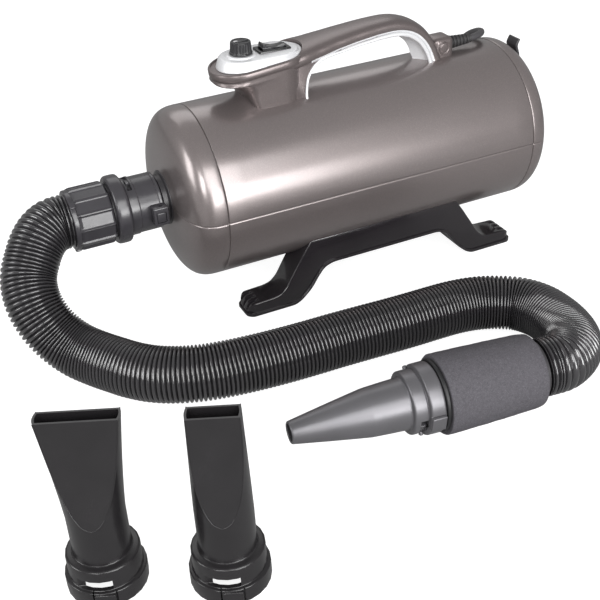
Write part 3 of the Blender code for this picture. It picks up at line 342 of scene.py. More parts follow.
def bevel(obj, width, segments=3, angle=38):
    mod = obj.modifiers.new("edge", "BEVEL")
    mod.width, mod.segments, mod.limit_method, mod.angle_limit = width, segments, "ANGLE", radians(angle)
    mod.harden_normals = False
    return apply(obj)


def settle(obj, body, slot, *nodes, look=None):
    """Gives a finished piece its slot's material and its body, and hides the nodes it stands for."""
    obj.data.materials.clear()
    obj.data.materials.append(finish(slot, look))
    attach(obj, body)
    if nodes:
        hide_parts(*nodes)
    return obj


def rounded(points, radius, steps=3, closed=False):
    """The same line with its corners rounded."""
    pts = [Vector(p) for p in points]
    out = []
    for i, p in enumerate(pts):
        if not closed and i in (0, len(pts) - 1):
            out.append(p)
            continue
        a, b = pts[i - 1] - p, pts[(i + 1) % len(pts)] - p
        reach = min(radius, a.length * 0.45, b.length * 0.45)
        if reach < 1e-6 or abs(a.normalized().dot(b.normalized())) > 0.999:
            out.append(p)
            continue
        start, end = p + a.normalized() * reach, p + b.normalized() * reach
        for k in range(steps + 1):
            t = k / steps
            out.append(start * (1 - t) ** 2 + p * 2 * t * (1 - t) + end * t * t)
    return out


def lathe(name, profile, matrix=BARREL, count=96, mod=None, loop=True, soft=0.0006, sharp=34):
    """Turns (radius, distance along X) points about the matrix's X axis. mod(angle, x, r) changes a radius."""
    line = rounded(profile, soft, closed=loop) if soft else [Vector(p) for p in profile]
    rings = []
    for r, x in line:
        ring = []
        for i in range(count):
            a = 2 * pi * i / count
            wide = mod(a, x, r) if mod else r
            ring.append((x, wide * cos(a), wide * sin(a)))
        rings.append(ring)
    return piece(name, skin(rings, loop=loop), matrix, sharp)


def brick(name, size, matrix, soft=0.0008, segments=3):
    """A moulded block with rounded edges."""
    bm = bmesh.new()
    bmesh.ops.create_cube(bm, size=1.0)
    bmesh.ops.scale(bm, vec=size, verts=bm.verts)
    bmesh.ops.bevel(bm, geom=bm.edges[:], offset=soft, segments=segments, affect="EDGES", profile=0.5)
    bmesh.ops.transform(bm, matrix=Matrix.Translation(MID) @ matrix, verts=bm.verts)
    return wrap(name, bm)


def smooth_line(points, spacing):
    """Points at about this spacing on a smooth curve through the given ones."""
    pts = [Vector(p) for p in points]
    pts = [pts[0] * 2 - pts[1]] + pts + [pts[-1] * 2 - pts[-2]]
    fine = []
    for a, b, c, d in zip(pts, pts[1:], pts[2:], pts[3:]):
        for i in range(16):
            t = i / 16
            fine.append(0.5 * ((2 * b) + (c - a) * t + (2 * a - 5 * b + 4 * c - d) * t * t
                               + (3 * b - a - 3 * c + d) * t ** 3))
    fine.append(pts[-2].copy())
    total = sum((q - p).length for p, q in zip(fine, fine[1:]))
    count = max(2, round(total / spacing))
    out, run, want = [fine[0]], 0.0, total / count
    for p, q in zip(fine, fine[1:]):
        step = (q - p).length
        while step > 0 and run + step >= want * len(out) - 1e-9 and len(out) < count:
            out.append(p.lerp(q, (want * len(out) - run) / step))
        run += step
    return out + [fine[-1]]


def length_of(points):
    return sum((q - p).length for p, q in zip(points, points[1:]))


def sweep(points, radius, count=32, flat=1.0):
    """Rings along a line, each radius(i) wide, without twist. flat squeezes the second axis."""
    rings, side = [], None
    for i, p in enumerate(points):
        along = (points[min(i + 1, len(points) - 1)] - points[max(i - 1, 0)]).normalized()
        side = Vector((0, 0, 1)).cross(along) if side is None else side
        side = (side - along * side.dot(along)).normalized()
        up = along.cross(side)
        r = radius(i)
        rings.append([p + side * r * cos(a) + up * r * flat * sin(a)
                      for a in (2 * pi * k / count for k in range(count))])
    return rings


def superoval(half_x, half_y, power, count):
    out = []
    for i in range(count):
        a = 2 * pi * i / count
        c, s = cos(a), sin(a)
        out.append((half_x * abs(c) ** (2 / power) * (1 if c >= 0 else -1),
                    half_y * abs(s) ** (2 / power) * (1 if s >= 0 else -1)))
    return out


def box_ring(x0, x1, half_w, front_r, rear_r, steps=10):
    """Closed outline in XY: a rectangle whose corners have one radius at its front and one at its rear."""
    out = []
    front, rear = (x0 + front_r, half_w - front_r, front_r), (x1 - rear_r, half_w - rear_r, rear_r)
    for turn, ((cx, cy, r), side) in enumerate(((rear, 1), (front, 1), (front, -1), (rear, -1))):
        for k in range(steps + 1):
            a = pi / 2 * (turn + k / steps)
            out.append((cx + r * cos(a), side * cy + r * sin(a)))
    return out


# ---- cords --------------------------------------------------------------------------------
HOSE_ROUTE = [
    (-0.319, 0.0, AXIS_Z), (-0.3265, -0.0014, 0.1256), (-0.336, -0.0058, 0.123), (-0.345, -0.0118, 0.1172),
    (-0.3531, -0.0188, 0.1081), (-0.363, -0.0303, 0.0927), (-0.3655, -0.0443, 0.0763),
    (-0.361, -0.0571, 0.0593), (-0.3515, -0.0688, 0.0436), (-0.339, -0.0827, 0.0327),
    (-0.3254, -0.099, 0.0282), (-0.3126, -0.1166, 0.0273), (-0.2997, -0.1341, 0.0272),
    (-0.2841, -0.1493, 0.0272), (-0.2655, -0.1607, 0.0272), (-0.2453, -0.1687, 0.0272),
    (-0.2241, -0.1738, 0.0272), (-0.2026, -0.1772, 0.0272), (-0.1809, -0.1796, 0.0272),
    (-0.1592, -0.1812, 0.0272), (-0.1374, -0.1822, 0.0272), (-0.1156, -0.1829, 0.0272),
    (-0.0938, -0.184, 0.0272), (-0.0721, -0.1853, 0.0272), (-0.0503, -0.1866, 0.0272),
    (-0.0285, -0.1874, 0.0272), (-0.0067, -0.1879, 0.0272), (0.015, -0.1893, 0.0272),
    (0.0363, -0.1938, 0.0272), (0.056, -0.203, 0.0272), (0.073, -0.2165, 0.0272), (0.0826, -0.2355, 0.0275),
    (0.0844, -0.2572, 0.0283), (0.0814, -0.2787, 0.0298), (0.0732, -0.299, 0.0322), (0.059, -0.3158, 0.035),
    (0.0404, -0.3246, 0.0362),
]
CUFF_END = -0.3105
RIB_PITCH = 0.0039
RIB = (0.0, 0.0002, 0.0013, 0.0034, 0.0013, 0.0002)     # how far the surface dips along one rib
LEAD_Z, GLAND_X, RELIEF_LEN = 0.2225, 0.1213, 0.027
COIL_AT, COIL_R = (0.045, 0.175), 0.041
LEAD_FLOOR, PLUG_Z, COIL_TURNS = 0.0041, 0.0357, 8.2
LEAD_ROUTE = [
    (GLAND_X + RELIEF_LEN + 0.003, 0.0, LEAD_Z), (0.158, 0.0015, 0.2228), (0.166, 0.006, 0.2226),
    (0.1725, 0.015, 0.221), (0.176, 0.029, 0.2165), (0.1772, 0.045, 0.2085), (0.1765, 0.062, 0.195),
    (0.1748, 0.078, 0.175), (0.1722, 0.0905, 0.15), (0.1692, 0.099, 0.122), (0.165, 0.105, 0.093),
    (0.16, 0.11, 0.065), (0.154, 0.115, 0.039), (0.145, 0.121, 0.018), (0.133, 0.128, 0.0065),
    (0.12, 0.135, LEAD_FLOOR), (0.11, 0.144, LEAD_FLOOR), (0.104, 0.156, LEAD_FLOOR),
    (0.1016, 0.169, LEAD_FLOOR),
]


def air_hose():
    ends = [HAND @ Vector((x, 0, 0)) for x in (-0.009, -0.001)]
    line = smooth_line([(CUFF_END - GAP, 0, AXIS_Z)] + HOSE_ROUTE + ends, 0.0026)
    length = length_of(line)
    ribs = round(length / RIB_PITCH)
    path = smooth_line(line, length / (ribs * len(RIB)))
    rings = sweep(path, lambda i: HOSE_R - RIB[i % len(RIB)], 40)
    hose = solid("air_hose_ribbed", rings, sharp=60)
    hose.data.materials.append(finish("hose_plastic"))
    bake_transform(hose)
    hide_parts("air_hose")


def coil_point(n, radii=(0.0485, 0.041, 0.0335)):
    """Point of the wound lead after n turns: three inwards on the floor, three outwards, then inwards."""
    order = [(radii[0], 0), (radii[1], 0), (radii[2], 0), (radii[2], 1), (radii[1], 1), (radii[0], 1),
             (radii[0], 2), (radii[1], 2), (radii[1], 2)]
    turn, share = int(n), n - int(n)
    (r, layer), (next_r, next_layer) = order[turn], order[min(turn + 1, len(order) - 1)]
    move = ease((share - 0.84) / 0.16)
    r += (next_r - r) * move + 0.0078 * (1 - ease(n / 0.16))        # it joins the coil from outside
    z = LEAD_FLOOR + 0.0076 * (layer + (next_layer - layer) * move)
    z += (PLUG_Z - z) * ease((n - 7.86) / 0.34)
    a = 2 * pi * n
    return Vector((COIL_AT[0] + r * cos(a), COIL_AT[1] + r * sin(a), z))


def mains_lead():
    route = smooth_line([(GLAND_X + RELIEF_LEN - 0.004, 0, LEAD_Z)] + LEAD_ROUTE + [coil_point(0.0)], 0.004)
    wound = [coil_point(COIL_TURNS * i / 260) for i in range(1, 261)]
    points = route + wound + [Vector((COIL_AT[0] + 0.009, COIL_AT[1] + COIL_R, PLUG_Z))]
    curve = bpy.data.curves.new("mains_lead_wound", "CURVE")
    curve.dimensions = "3D"
    curve.bevel_depth, curve.bevel_resolution, curve.use_fill_caps = LEAD_R, 4, True
    spline = curve.splines.new("POLY")
    spline.points.add(len(points) - 1)
    for point, p in zip(spline.points, points):
        point.co = (*(MID + p), 1)
    spline.use_smooth = True
    lead = settle(link("mains_lead_wound", curve), "dryer", "rubber", "mains_lead", "lead_coil",
                  look="lead_jacket")
    plug = mains_plug()


def mains_plug():
    """Moulded plug with a ribbed grip, two flat blades and an earth pin."""
    matrix = at(COIL_AT[0] - 0.01, COIL_AT[1] + COIL_R, PLUG_Z) @ Matrix.Rotation(pi, 4, "Z")
    table = [(-0.018, 0.0056, 0.0054), (-0.015, 0.0068, 0.0064), (-0.011, 0.0088, 0.0082),
             (-0.006, 0.011, 0.0105), (0.001, 0.0122, 0.0122), (0.006, 0.0125, 0.0127),
             (0.015, 0.0125, 0.0127), (0.016, 0.0118, 0.012)]
    rows = []
    for (x0, a0, b0), (x1, a1, b1) in zip(table, table[1:]):
        for k in range(6):
            t = k / 6
            x = x0 + (x1 - x0) * t
            dent = 0.0005 * (1 - cos(2 * pi * (x + 0.011) / 0.0034)) / 2 if -0.011 < x < 0.006 else 0.0
            rows.append((x, a0 + (a1 - a0) * t - dent, b0 + (b1 - b0) * t - dent))
    rows.append(table[-1])
    rings = [[(x, y, z) for y, z in superoval(a, b, 3.0, 40)] for x, a, b in rows]
    out = [settle(solid("plug_body", rings, matrix), "dryer", "rubber", "mains_plug", look="lead_jacket")]
    for i, y in enumerate((-0.0064, 0.0064)):
        blade = brick(f"plug_blade_{i + 1}", (0.02, 0.0015, 0.0062), matrix @ at(0.0248, y, 0.003), 0.0004, 2)
        out.append(settle(blade, "dryer", "steel"))
    pin = lathe("plug_earth_pin", [(0.0, 0.015), (0.0024, 0.015), (0.0024, 0.0355), (0.0012, 0.0372),
                                   (0.0, 0.0372)], matrix @ at(0, 0, -0.007), 24, loop=False, soft=0.0005)
    out.append(settle(pin, "dryer", "steel"))
    return out


def strain_relief():
    """Tapered ribbed sleeve where the lead leaves the cord block."""
    tip = GLAND_X + RELIEF_LEN
    profile = [(0.0, GLAND_X - 0.002), (0.0072, GLAND_X - 0.002), (0.0072, GLAND_X + 0.0022),
               (0.0056, GLAND_X + 0.0024)]
    for i in range(5):
        start = GLAND_X + 0.0038 + i * 0.0044
        r = 0.0066 - 0.0003 * i
        profile += [(r - 0.0014, start - 0.0003), (r, start), (r, start + 0.0026),
                    (r - 0.0014, start + 0.0029)]
    profile += [(LEAD_R + 0.0011, tip - 0.0006), (LEAD_R + 0.0008, tip), (0.0, tip)]
    sleeve = lathe("cord_strain_relief", profile, at(0, 0, LEAD_Z), 64, loop=False, soft=0.0005)
    settle(sleeve, "dryer", "rubber", "strain_relief")


# ---- shells and caps ----------------------------------------------------------------------
def cap_profile(depth, radius, inner_r, count=36):
    last = acos((inner_r / radius) ** (CAP_POWER / 2))
    angles = [last * i / count for i in range(count + 1)]
    return [(radius * cos(a) ** (2 / CAP_POWER), depth * sin(a) ** (2 / CAP_POWER)) for a in angles]


def half_turned(name, outer, inner, upper, way=1):
    """Half a shell. Its edge along the parting plane is rounded, more on the lower half, so the seam shows."""
    reach, depth = (0.0006, 0.0004) if upper else (0.0016, 0.0011)
    near = [s / BODY_R for s in (0.0, 0.00015, 0.0004, 0.0007, 0.0011, 0.0016, 0.0024)]
    angles = near + [radians(2.5 + 2.5 * i) for i in range(71)] + [pi - a for a in near[::-1]]
    normals = []
    for i in range(len(outer)):
        (r0, x0), (r1, x1) = outer[max(i - 1, 0)], outer[min(i + 1, len(outer) - 1)]
        span = max(1e-9, ((r1 - r0) ** 2 + (x1 - x0) ** 2) ** 0.5)
        normals.append((abs(x1 - x0) / span, way * abs(r1 - r0) / span))
    sign = 1 if upper else -1
    rings = []
    for a in angles:
        arc = min(a, pi - a) * BODY_R
        dip = depth * (1 - min(1.0, arc / reach)) ** 2
        ring = [(x - nx * dip, (r - nr * dip) * cos(a), sign * ((r - nr * dip) * sin(a) + GAP / 2))
                for (r, x), (nr, nx) in zip(outer, normals)]
        ring += [(x, r * cos(a), sign * (r * sin(a) + GAP / 2)) for r, x in inner[::-1]]
        rings.append(ring)
    return solid(name, rings, BARREL, 50)


def shells():
    edge = ((0.0009, 0.0), (0.00035, 0.00025), (0.0001, 0.0006), (0.0, 0.0011))
    outer = [(BODY_R - dr, HALF - dx) for dr, dx in edge]
    outer += [(BODY_R, HALF * (1 - i / 8)) for i in range(1, 16)]
    outer += [(BODY_R - dr, -HALF + dx) for dr, dx in edge[::-1]]
    inner = [(BODY_R - WALL, HALF), (BODY_R - WALL, -HALF)]
    for upper, node in ((True, "upper_shell"), (False, "lower_shell")):
        settle(half_turned(f"barrel_{node}", outer, inner, upper), "dryer", "shell_paint", node)
    for word, depth, hole, way in (("front", FRONT_DEPTH, NECK_R + GAP, -1),
                                   ("rear", REAR_DEPTH, COVER_R + GAP, 1)):
        line = [(BODY_R - dr, dx) for dr, dx in edge]
        line += [p for p in cap_profile(depth, BODY_R, hole) if p[1] > 0.0014]
        line[-1] = (hole, line[-1][1])
        line += [(hole, line[-1][1] - 0.0006)]
        outer = [(r, way * (HALF + GAP + d)) for r, d in line]
        inner = [(r, way * (HALF + GAP + d)) for r, d in cap_profile(depth - WALL, BODY_R - WALL, hole, 16)]
        for upper, half in ((True, "upper"), (False, "lower")):
            node = f"{word}_cap_{half}"
            settle(half_turned(f"shell_{node}", outer, inner, upper, way), "dryer", "shell_paint", node)


def inlet():
    """Filter cover with two rings of air slots, and its latch tab."""
    face, rim = COVER_X + 0.001, COVER_X - 0.016
    cover = lathe("inlet_cover", [
        (0.0, face - 0.0004), (0.01, face), (COVER_R - 0.004, face), (COVER_R - GAP, face - 0.003),
        (COVER_R - GAP, rim), (COVER_R - 0.0028, rim), (COVER_R - 0.0028, face - 0.004), (0.0, face - 0.003)],
                  BARREL, 120, loop=False, soft=0.0008)
    cuts = []
    for ring, (inner, outer, count) in enumerate(((0.014, 0.03, 8), (0.034, 0.053, 12))):
        for i in range(count):
            cuts.append(brick(f"slot_{ring}_{i}", (0.02, 0.0055, outer - inner),
                              BARREL @ about_x(2 * pi * (i + 0.5) / count)
                              @ at(COVER_X, 0, (inner + outer) / 2), 0.0018, 2))
    carve(cover, *cuts)
    settle(bevel(cover, 0.0004, 2), "cover", "black_plastic", "filter_cover")
    for i in (-1, 1):
        ear = brick(f"latch_ear_{i + 2}", (0.006, 0.003, 0.007), at(COVER_X + 0.003, 0.0112 * i, HINGE_Z))
        settle(ear, "cover", "black_plastic")
    hinge = at(COVER_X + 0.0032, 0, HINGE_Z)
    side = [(-0.0012, -0.0016), (0.0014, -0.0016), (0.002, 0.006), (0.0012, 0.014), (-0.002, 0.0235),
            (0.0014, 0.03), (-0.001, 0.0312), (-0.0052, 0.024), (-0.0022, 0.014), (-0.0016, 0.007)]
    tab = solid("latch_tab_moulded", plate(rounded(side, 0.003, 4, closed=True), -0.009, 0.009), hinge)
    settle(bevel(tab, 0.0007, 3), "cover_latch", "black_plastic", "latch_tab")


# ---- outlet, adapter, collar and cuff -----------------------------------------------------
def connector():
    """Outlet neck, hose adapter with its latch, bayonet collar and cuff."""
    neck = lathe("outlet_neck_tube", [
        (NECK_R + 0.0035, -0.2105), (NECK_R + 0.0035, -0.2128), (NECK_R, -0.214), (NECK_R, -0.219),
        (BORE_R, -0.219), (BORE_R, -0.1886), (NECK_R, -0.1886), (NECK_R, -0.2095)])
    settle(neck, "dryer", "black_plastic", "outlet_neck")
    adapter = lathe("adapter_sleeve", [
        (ADAPTER_R - 0.0006, -0.2206), (ADAPTER_R, -0.2212), (ADAPTER_R, -0.2236),
        (ADAPTER_R - 0.0005, -0.2239), (ADAPTER_R - 0.0005, -0.2243), (ADAPTER_R, -0.2246),
        (ADAPTER_R, -0.244), (ADAPTER_R + 0.0008, -0.2446), (ADAPTER_R + 0.0008, -0.2532),
        (ADAPTER_R, -0.254), (BORE_R, -0.254), (BORE_R, -0.2206)], BARREL, 128,
        soft=0.0004)
    window_x, crown = -0.2492, AXIS_Z + ADAPTER_R
    carve(adapter, brick("window", (0.005, 0.033, 0.011), at(window_x, 0, crown + 0.0002), 0.0005, 1))
    settle(adapter, "dryer", "grey_plastic", "hose_adapter")
    lug = brick("adapter_lug", (0.0036, 0.007, 0.003), at(window_x, -0.006, crown - 0.0004), 0.0006)
    settle(lug, "dryer", "grey_plastic")
    seat = at(-0.227, -ADAPTER_R - 0.003, AXIS_Z - 0.0008)
    block = brick("adapter_latch_seat", (0.0152, 0.014, 0.0192), seat, 0.0014, 4)
    carve(block, brick("pocket", (0.01, 0.011, 0.011), seat @ at(0, -0.0049, -0.001), 0.0004, 1),
          lathe("pin", [(0.0, -0.004), (0.0022, -0.004), (0.0022, 0.004), (0.0, 0.004)],
                seat @ at(0.001, -0.001, 0.0096) @ UPRIGHT, 24, loop=False, soft=0))
    settle(block, "dryer", "grey_plastic")
    button = brick("adapter_button", (0.0092, 0.0056, 0.0102), seat @ at(0, -0.0042, -0.001), 0.0009, 3)
    settle(button, "adapter_button", "grey_plastic", "latch_button")
    x0, x1 = -0.2545, -0.2683
    collar = lathe("collar_ring", [
        (COLLAR_R - 0.0016, x0), (COLLAR_R - 0.0002, x0 - 0.0016), (COLLAR_R, x0 - 0.005),
        (COLLAR_R, x1 + 0.005), (COLLAR_R - 0.0003, x1 + 0.0018), (COLLAR_R - 0.002, x1), (BORE_R, x1),
        (BORE_R, x0)], BARREL, 128, soft=0.0012)
    settle(collar, "collar", "grey_plastic", "bayonet_collar")
    gap = [(0.0262, -0.268), (0.0262, -0.2694), (0.02, -0.2694), (0.02, -0.268)]
    settle(lathe("gap_ring", gap, BARREL, 64, soft=0), "dryer", "black_plastic")
    cuff()


def cuff():
    """Twelve flats with a ridge at each corner, and a plain ring with three lugs at the hose's end."""

    def flats(a, x, r):
        if r < 0.024:
            return r
        step = 2 * pi / 12
        off = (a + step / 2) % step - step / 2
        ridge = max(0.0, 1 - abs(off) * r / 0.0017)
        flat = r * cos(step / 2) / cos(step / 2 - abs(off))
        return flat + 0.0015 * min(1.0, ridge * 1.6)

    a, b = -0.2696, CUFF_END
    ribbed = lathe("hose_cuff_ribbed", [
        (CUFF_R - 0.0036, a), (CUFF_R - 0.0006, a - 0.0014), (CUFF_R, a - 0.003), (CUFF_R, b + 0.008),
        (CUFF_R - 0.0008, b + 0.005), (CUFF_R - 0.0012, b + 0.0046)], BARREL, 288, mod=flats, loop=False,
        sharp=40)
    settle(ribbed, "dryer", "grey_plastic", "hose_cuff")
    end = lathe("hose_cuff_end", [
        (CUFF_R - 0.0026, b + 0.006), (CUFF_R + 0.0002, b + 0.005), (CUFF_R + 0.0002, b + 0.0004),
        (CUFF_R - 0.0014, b), (BORE_R, b), (BORE_R, a), (CUFF_R - 0.0036, a)], BARREL, 128, loop=False)
    settle(end, "dryer", "grey_plastic")
    for i, turn in enumerate((38, 158, 278)):
        lug = brick(f"cuff_lug_{i + 1}", (0.0052, 0.0066, 0.0034),
                    BARREL @ about_x(radians(turn)) @ at(b + 0.0028, 0, CUFF_R), 0.0008)
        settle(lug, "dryer", "grey_plastic")


# ---- handpiece ----------------------------------------------------------------------------
SOCKET_TURN, TAB_TURN = radians(-121), radians(-101)    # of the nozzle's slot, and of the tab on its flange


def handpiece():
    """Tube and foam grip, then everything in front of them."""
    tube = lathe("grip_tube_end", [(0.0262, 0.1024), (0.0262, 0.0012), (0.0225, 0.0012), (0.0225, 0.1024)],
                 HAND)
    settle(tube, "handpiece", "black_plastic", "grip_tube")
    line = [(0.0265, 0.0996), (0.0354, 0.0996), (0.0361, 0.0988), (0.0362, 0.096), (0.0361, 0.086),
            (0.0355, 0.06), (0.0346, 0.03), (0.0338, 0.013), (0.033, 0.0072), (0.0314, 0.006),
            (0.0265, 0.006)]
    dense = smooth_line([(r, x, 0) for r, x in rounded(line, 0.0022, 4)], 0.0011)

    def pores(a, x, r):
        if r < 0.029:
            return r
        spot = Vector((x, r * cos(a), r * sin(a)))
        return r + 0.00016 * noise.noise(spot * 1100) + 0.0003 * noise.noise(spot * 120)

    foam = lathe("foam_sleeve", [(p.x, p.y) for p in dense], HAND, 220, mod=pores, loop=False, soft=0,
                 sharp=180)
    settle(foam, "handpiece", "foam", "foam_grip")
    nozzle_end()


def nozzle_end():
    """The spigot with its button, and the nozzle that slides over it."""
    seat = HAND @ at(0.1228, 0, 0) @ about_x(SOCKET_TURN) @ at(0, 0, 0.0242)
    tab_at = HAND @ about_x(TAB_TURN) @ at(0.111, 0, 0)
    collar = lathe("nozzle_collar_ring", [
        (0.0232, 0.129), (0.024, 0.1282), (0.024, 0.1038), (0.0318, 0.1037), (0.0328, 0.1031),
        (0.0328, 0.1006), (0.0324, 0.1), (0.0265, 0.1), (0.0265, 0.1027), (0.019, 0.1027), (0.019, 0.129)],
                   HAND, 144, soft=0.0004)
    carve(collar, brick("pocket", (0.0066, 0.0096, 0.008), seat, 0.0002, 1))
    settle(collar, "handpiece", "black_plastic", "nozzle_collar", look="ring_black")
    button = brick("nozzle_button_cap", (0.006, 0.009, 0.004), seat, 0.0006)
    settle(button, "nozzle_button", "grey_plastic", "nozzle_latch_button")
    nozzle = lathe("nozzle_moulded", [
        (0.008, 0.2338), (0.0083, 0.2346), (0.0092, 0.2348), (0.0099, 0.2342), (0.0102, 0.2328),
        (0.0126, 0.219), (0.0155, 0.202), (0.0183, 0.185), (0.0206, 0.1706), (0.0214, 0.1655),
        (0.0218, 0.16), (0.0226, 0.146), (0.0232, 0.133), (0.0236, 0.1316), (0.0272, 0.1314),
        (0.0282, 0.1304), (0.0284, 0.1198), (0.0276, 0.119), (0.0276, 0.1184), (0.0308, 0.118),
        (0.0317, 0.117), (0.0318, 0.1056), (0.031, 0.1042), (0.0245, 0.1042), (0.0245, 0.13),
        (0.0195, 0.131), (0.0185, 0.164)], HAND, 160, soft=0.0008, sharp=26)
    carve(nozzle, brick("slot", (0.0078, 0.027, 0.012), seat @ at(-0.0002, 0, 0.0048), 0.0003, 1),
          brick("channel", (0.024, 0.0104, 0.006), seat @ at(-0.0086, 0, 0.0002), 0.0002, 1),
          *(brick(f"notch_{i}", (0.016, 0.0014, 0.008), tab_at @ at(0, y, 0.033), 0.0002, 1)
            for i, y in enumerate((-0.0087, 0.0087))))
    settle(nozzle, "nozzle", "grey_plastic", "round_nozzle", look="nozzle_satin")
    tab = brick("nozzle_flange_tab", (0.0134, 0.0156, 0.003), tab_at @ at(0, 0, 0.0312), 0.0009)
    settle(tab, "nozzle", "grey_plastic", look="nozzle_satin")
    for i, turn in enumerate((50, -156)):
        lug = brick(f"nozzle_lug_{i + 1}", (0.003, 0.0044, 0.0056),
                    HAND @ about_x(radians(turn)) @ at(0.1196, 0, 0.029), 0.0008)
        settle(lug, "nozzle", "grey_plastic", look="nozzle_satin")


# ---- spare nozzles ------------------------------------------------------------------------
SOCKET = [(0.0, 0.0306), (0.0006, 0.0312), (0.0136, 0.0312), (0.0142, 0.0306), (0.0146, 0.0284),
          (0.0318, 0.0282), (0.0328, 0.027), (0.0334, 0.0232)]     # height and radius
SCOOP, SPARE_TOP = 0.068, 0.156       # the flat faces run out into the round body at SCOOP
SPARE_R = 0.0222


def spare_section(z, half_x, half_y, round_y, wall=0.0, flat_n=18, arc_n=12):
    """Closed ring: a flat face in front and behind, joined by rounded sides. The flats close up at SCOOP."""
    hx, hy, ry = half_x - wall, half_y - wall, round_y - wall
    tip = asin(min(1.0, hy / ry))
    w = hx * cos(tip)
    front = [(-w + 2 * w * i / flat_n, -hy, z) for i in range(flat_n)]
    right = [(hx * cos(a), ry * sin(a), z) for a in (-tip + 2 * tip * i / arc_n for i in range(arc_n))]
    return front + right + [(-x, -y, z) for x, y, _ in front + right]


def spare_nozzle(name, body, where, mouth_x, mouth_y):
    """Stands on its socket. The round body flattens into a slot-shaped mouth."""
    matrix = Matrix.Translation(where) @ Matrix.Rotation(radians(-23.9), 4, "Z")
    outer, inner, edge = [], [], []
    for i in range(31):
        t = i / 30
        z = SCOOP + (SPARE_TOP - SCOOP) * t
        half_x = SPARE_R + (mouth_x - SPARE_R) * (t ** 1.25 if mouth_x > SPARE_R else t)
        half_y = SPARE_R + (mouth_y - SPARE_R) * (1 - (1 - t) ** 1.8)
        outer.append(spare_section(z, half_x, half_y, SPARE_R))
        edge.append((half_x * cos(asin(min(1.0, half_y / SPARE_R))), half_y - 0.0001, z))
        inner.append(spare_section(z, half_x, half_y, SPARE_R, 0.0018 if t > 0 else 0.0019))
    base = [spare_section(p.x, p.y, p.y, p.y)
            for p in rounded(SOCKET + [(0.034, 0.0224), (0.04, SPARE_R)], 0.0008)]
    hollow = [spare_section(z, r, r, r) for z, r in
              ((0.05, 0.0203), (0.034, 0.0203), (0.033, 0.025), (0.015, 0.025), (0.0, 0.025))]
    nozzle = piece(name + "_moulded", skin(base + outer + inner[::-1] + hollow, loop=True), matrix)
    carve(nozzle, brick("slot", (0.03, 0.014, 0.0082), matrix @ at(-0.0058, -0.029, 0.019), 0.0003, 1),
          *(brick(f"notch_{i}", (0.0013, 0.012, 0.015), matrix @ at(x, -0.033, 0.0078), 0.0002, 1)
            for i, x in enumerate((-0.0056, 0.0114))))
    shade(nozzle.data, 16)
    settle(nozzle, body, "black_plastic", name, look="spare_black")
    for side, word in ((-1, "near"), (1, "far")):
        line = [(-x, side * y, z) for x, y, z in edge[:0:-1]] + [(x, side * y, z) for x, y, z in edge]
        rings = sweep(smooth_line(line, 0.0018), lambda i: 0.0005, 10)
        bead = solid(f"{name}_edge_{word}", rings, matrix, 60)
        settle(bead, body, "black_plastic", look="spare_black")
    tab = brick(f"{name}_tab", (0.0156, 0.003, 0.012), matrix @ at(0.0029, -0.0302, 0.0068), 0.0008)
    settle(tab, body, "black_plastic", look="spare_black")


# ---- handle and pod -----------------------------------------------------------------------
GRIP = [
    (-0.08, 0.244, 0.009, 0.029), (-0.06, 0.2475, 0.009, 0.028), (-0.04, 0.25, 0.0085, 0.0245),
    (-0.018, 0.253, 0.008, 0.0215), (0.006, 0.2555, 0.0078, 0.0195), (0.03, 0.2572, 0.0076, 0.0182),
    (0.05, 0.257, 0.0074, 0.0175), (0.066, 0.253, 0.007, 0.017), (0.078, 0.246, 0.0066, 0.0165),
    (0.087, 0.2365, 0.0062, 0.0162), (0.0935, 0.2255, 0.0062, 0.016), (0.0985, 0.213, 0.007, 0.016),
    (0.102, 0.202, 0.008, 0.0162),
]
OPENING_EDGE = [
    (-0.061, 0.2065), (-0.06, 0.215), (-0.0565, 0.2285), (-0.048, 0.2385), (-0.036, 0.2435),
    (-0.016, 0.246), (0.006, 0.2485), (0.03, 0.2504), (0.05, 0.25), (0.064, 0.246), (0.075, 0.2385),
    (0.083, 0.2285), (0.0885, 0.217), (0.0905, 0.208),
]


def spline_table(rows, spacing):
    """A table of x, z and two more columns, filled in smoothly along its line."""
    line = smooth_line([(x, z, 0) for x, z, _, _ in rows], spacing)
    marks = [0.0]
    for p, q in zip(rows, rows[1:]):
        marks.append(marks[-1] + Vector((q[0] - p[0], q[1] - p[1])).length)
    out, run = [], 0.0
    total, whole = marks[-1], length_of(line)
    for i, p in enumerate(line):
        run += (p - line[i - 1]).length if i else 0.0
        want = run * total / whole
        k = max(j for j in range(len(marks)) if marks[j] <= want + 1e-9)
        k = min(k, len(rows) - 2)
        t = (want - marks[k]) / (marks[k + 1] - marks[k])
        t = t * t * (3 - 2 * t) * 0.5 + t * 0.5
        out.append((p.x, p.y, *(rows[k][c] + (rows[k + 1][c] - rows[k][c]) * t for c in (2, 3))))
    return out


def grip_rings(count=56):
    """Sections of the arched grip. Its inner side swells to a rounded ridge towards the rear foot."""
    rows, rings = spline_table(GRIP, 0.003), []
    for i, (x, z, half_h, half_w) in enumerate(rows):
        x0, z0 = rows[max(i - 1, 0)][:2]
        x1, z1 = rows[min(i + 1, len(rows) - 1)][:2]
        along = Vector((x1 - x0, 0, z1 - z0)).normalized()
        out = Vector((-along.z, 0, along.x))
        share = i / (len(rows) - 1)
        swell = 0.0125 * clamp((share - 0.45) / 0.4) ** 1.5
        top, under = (superoval(half_w, half_h, power, count) for power in (2.5, 3.6))
        ring = []
        for k in range(count):
            u, v = top[k] if k <= count // 2 else under[k]
            if k > count // 2:
                v -= swell * (1 - min(1.0, abs(u) / half_w)) ** 1.3
            ring.append((Vector((x, u, z)) + out * v, out))
        rings.append(ring)
    return rings


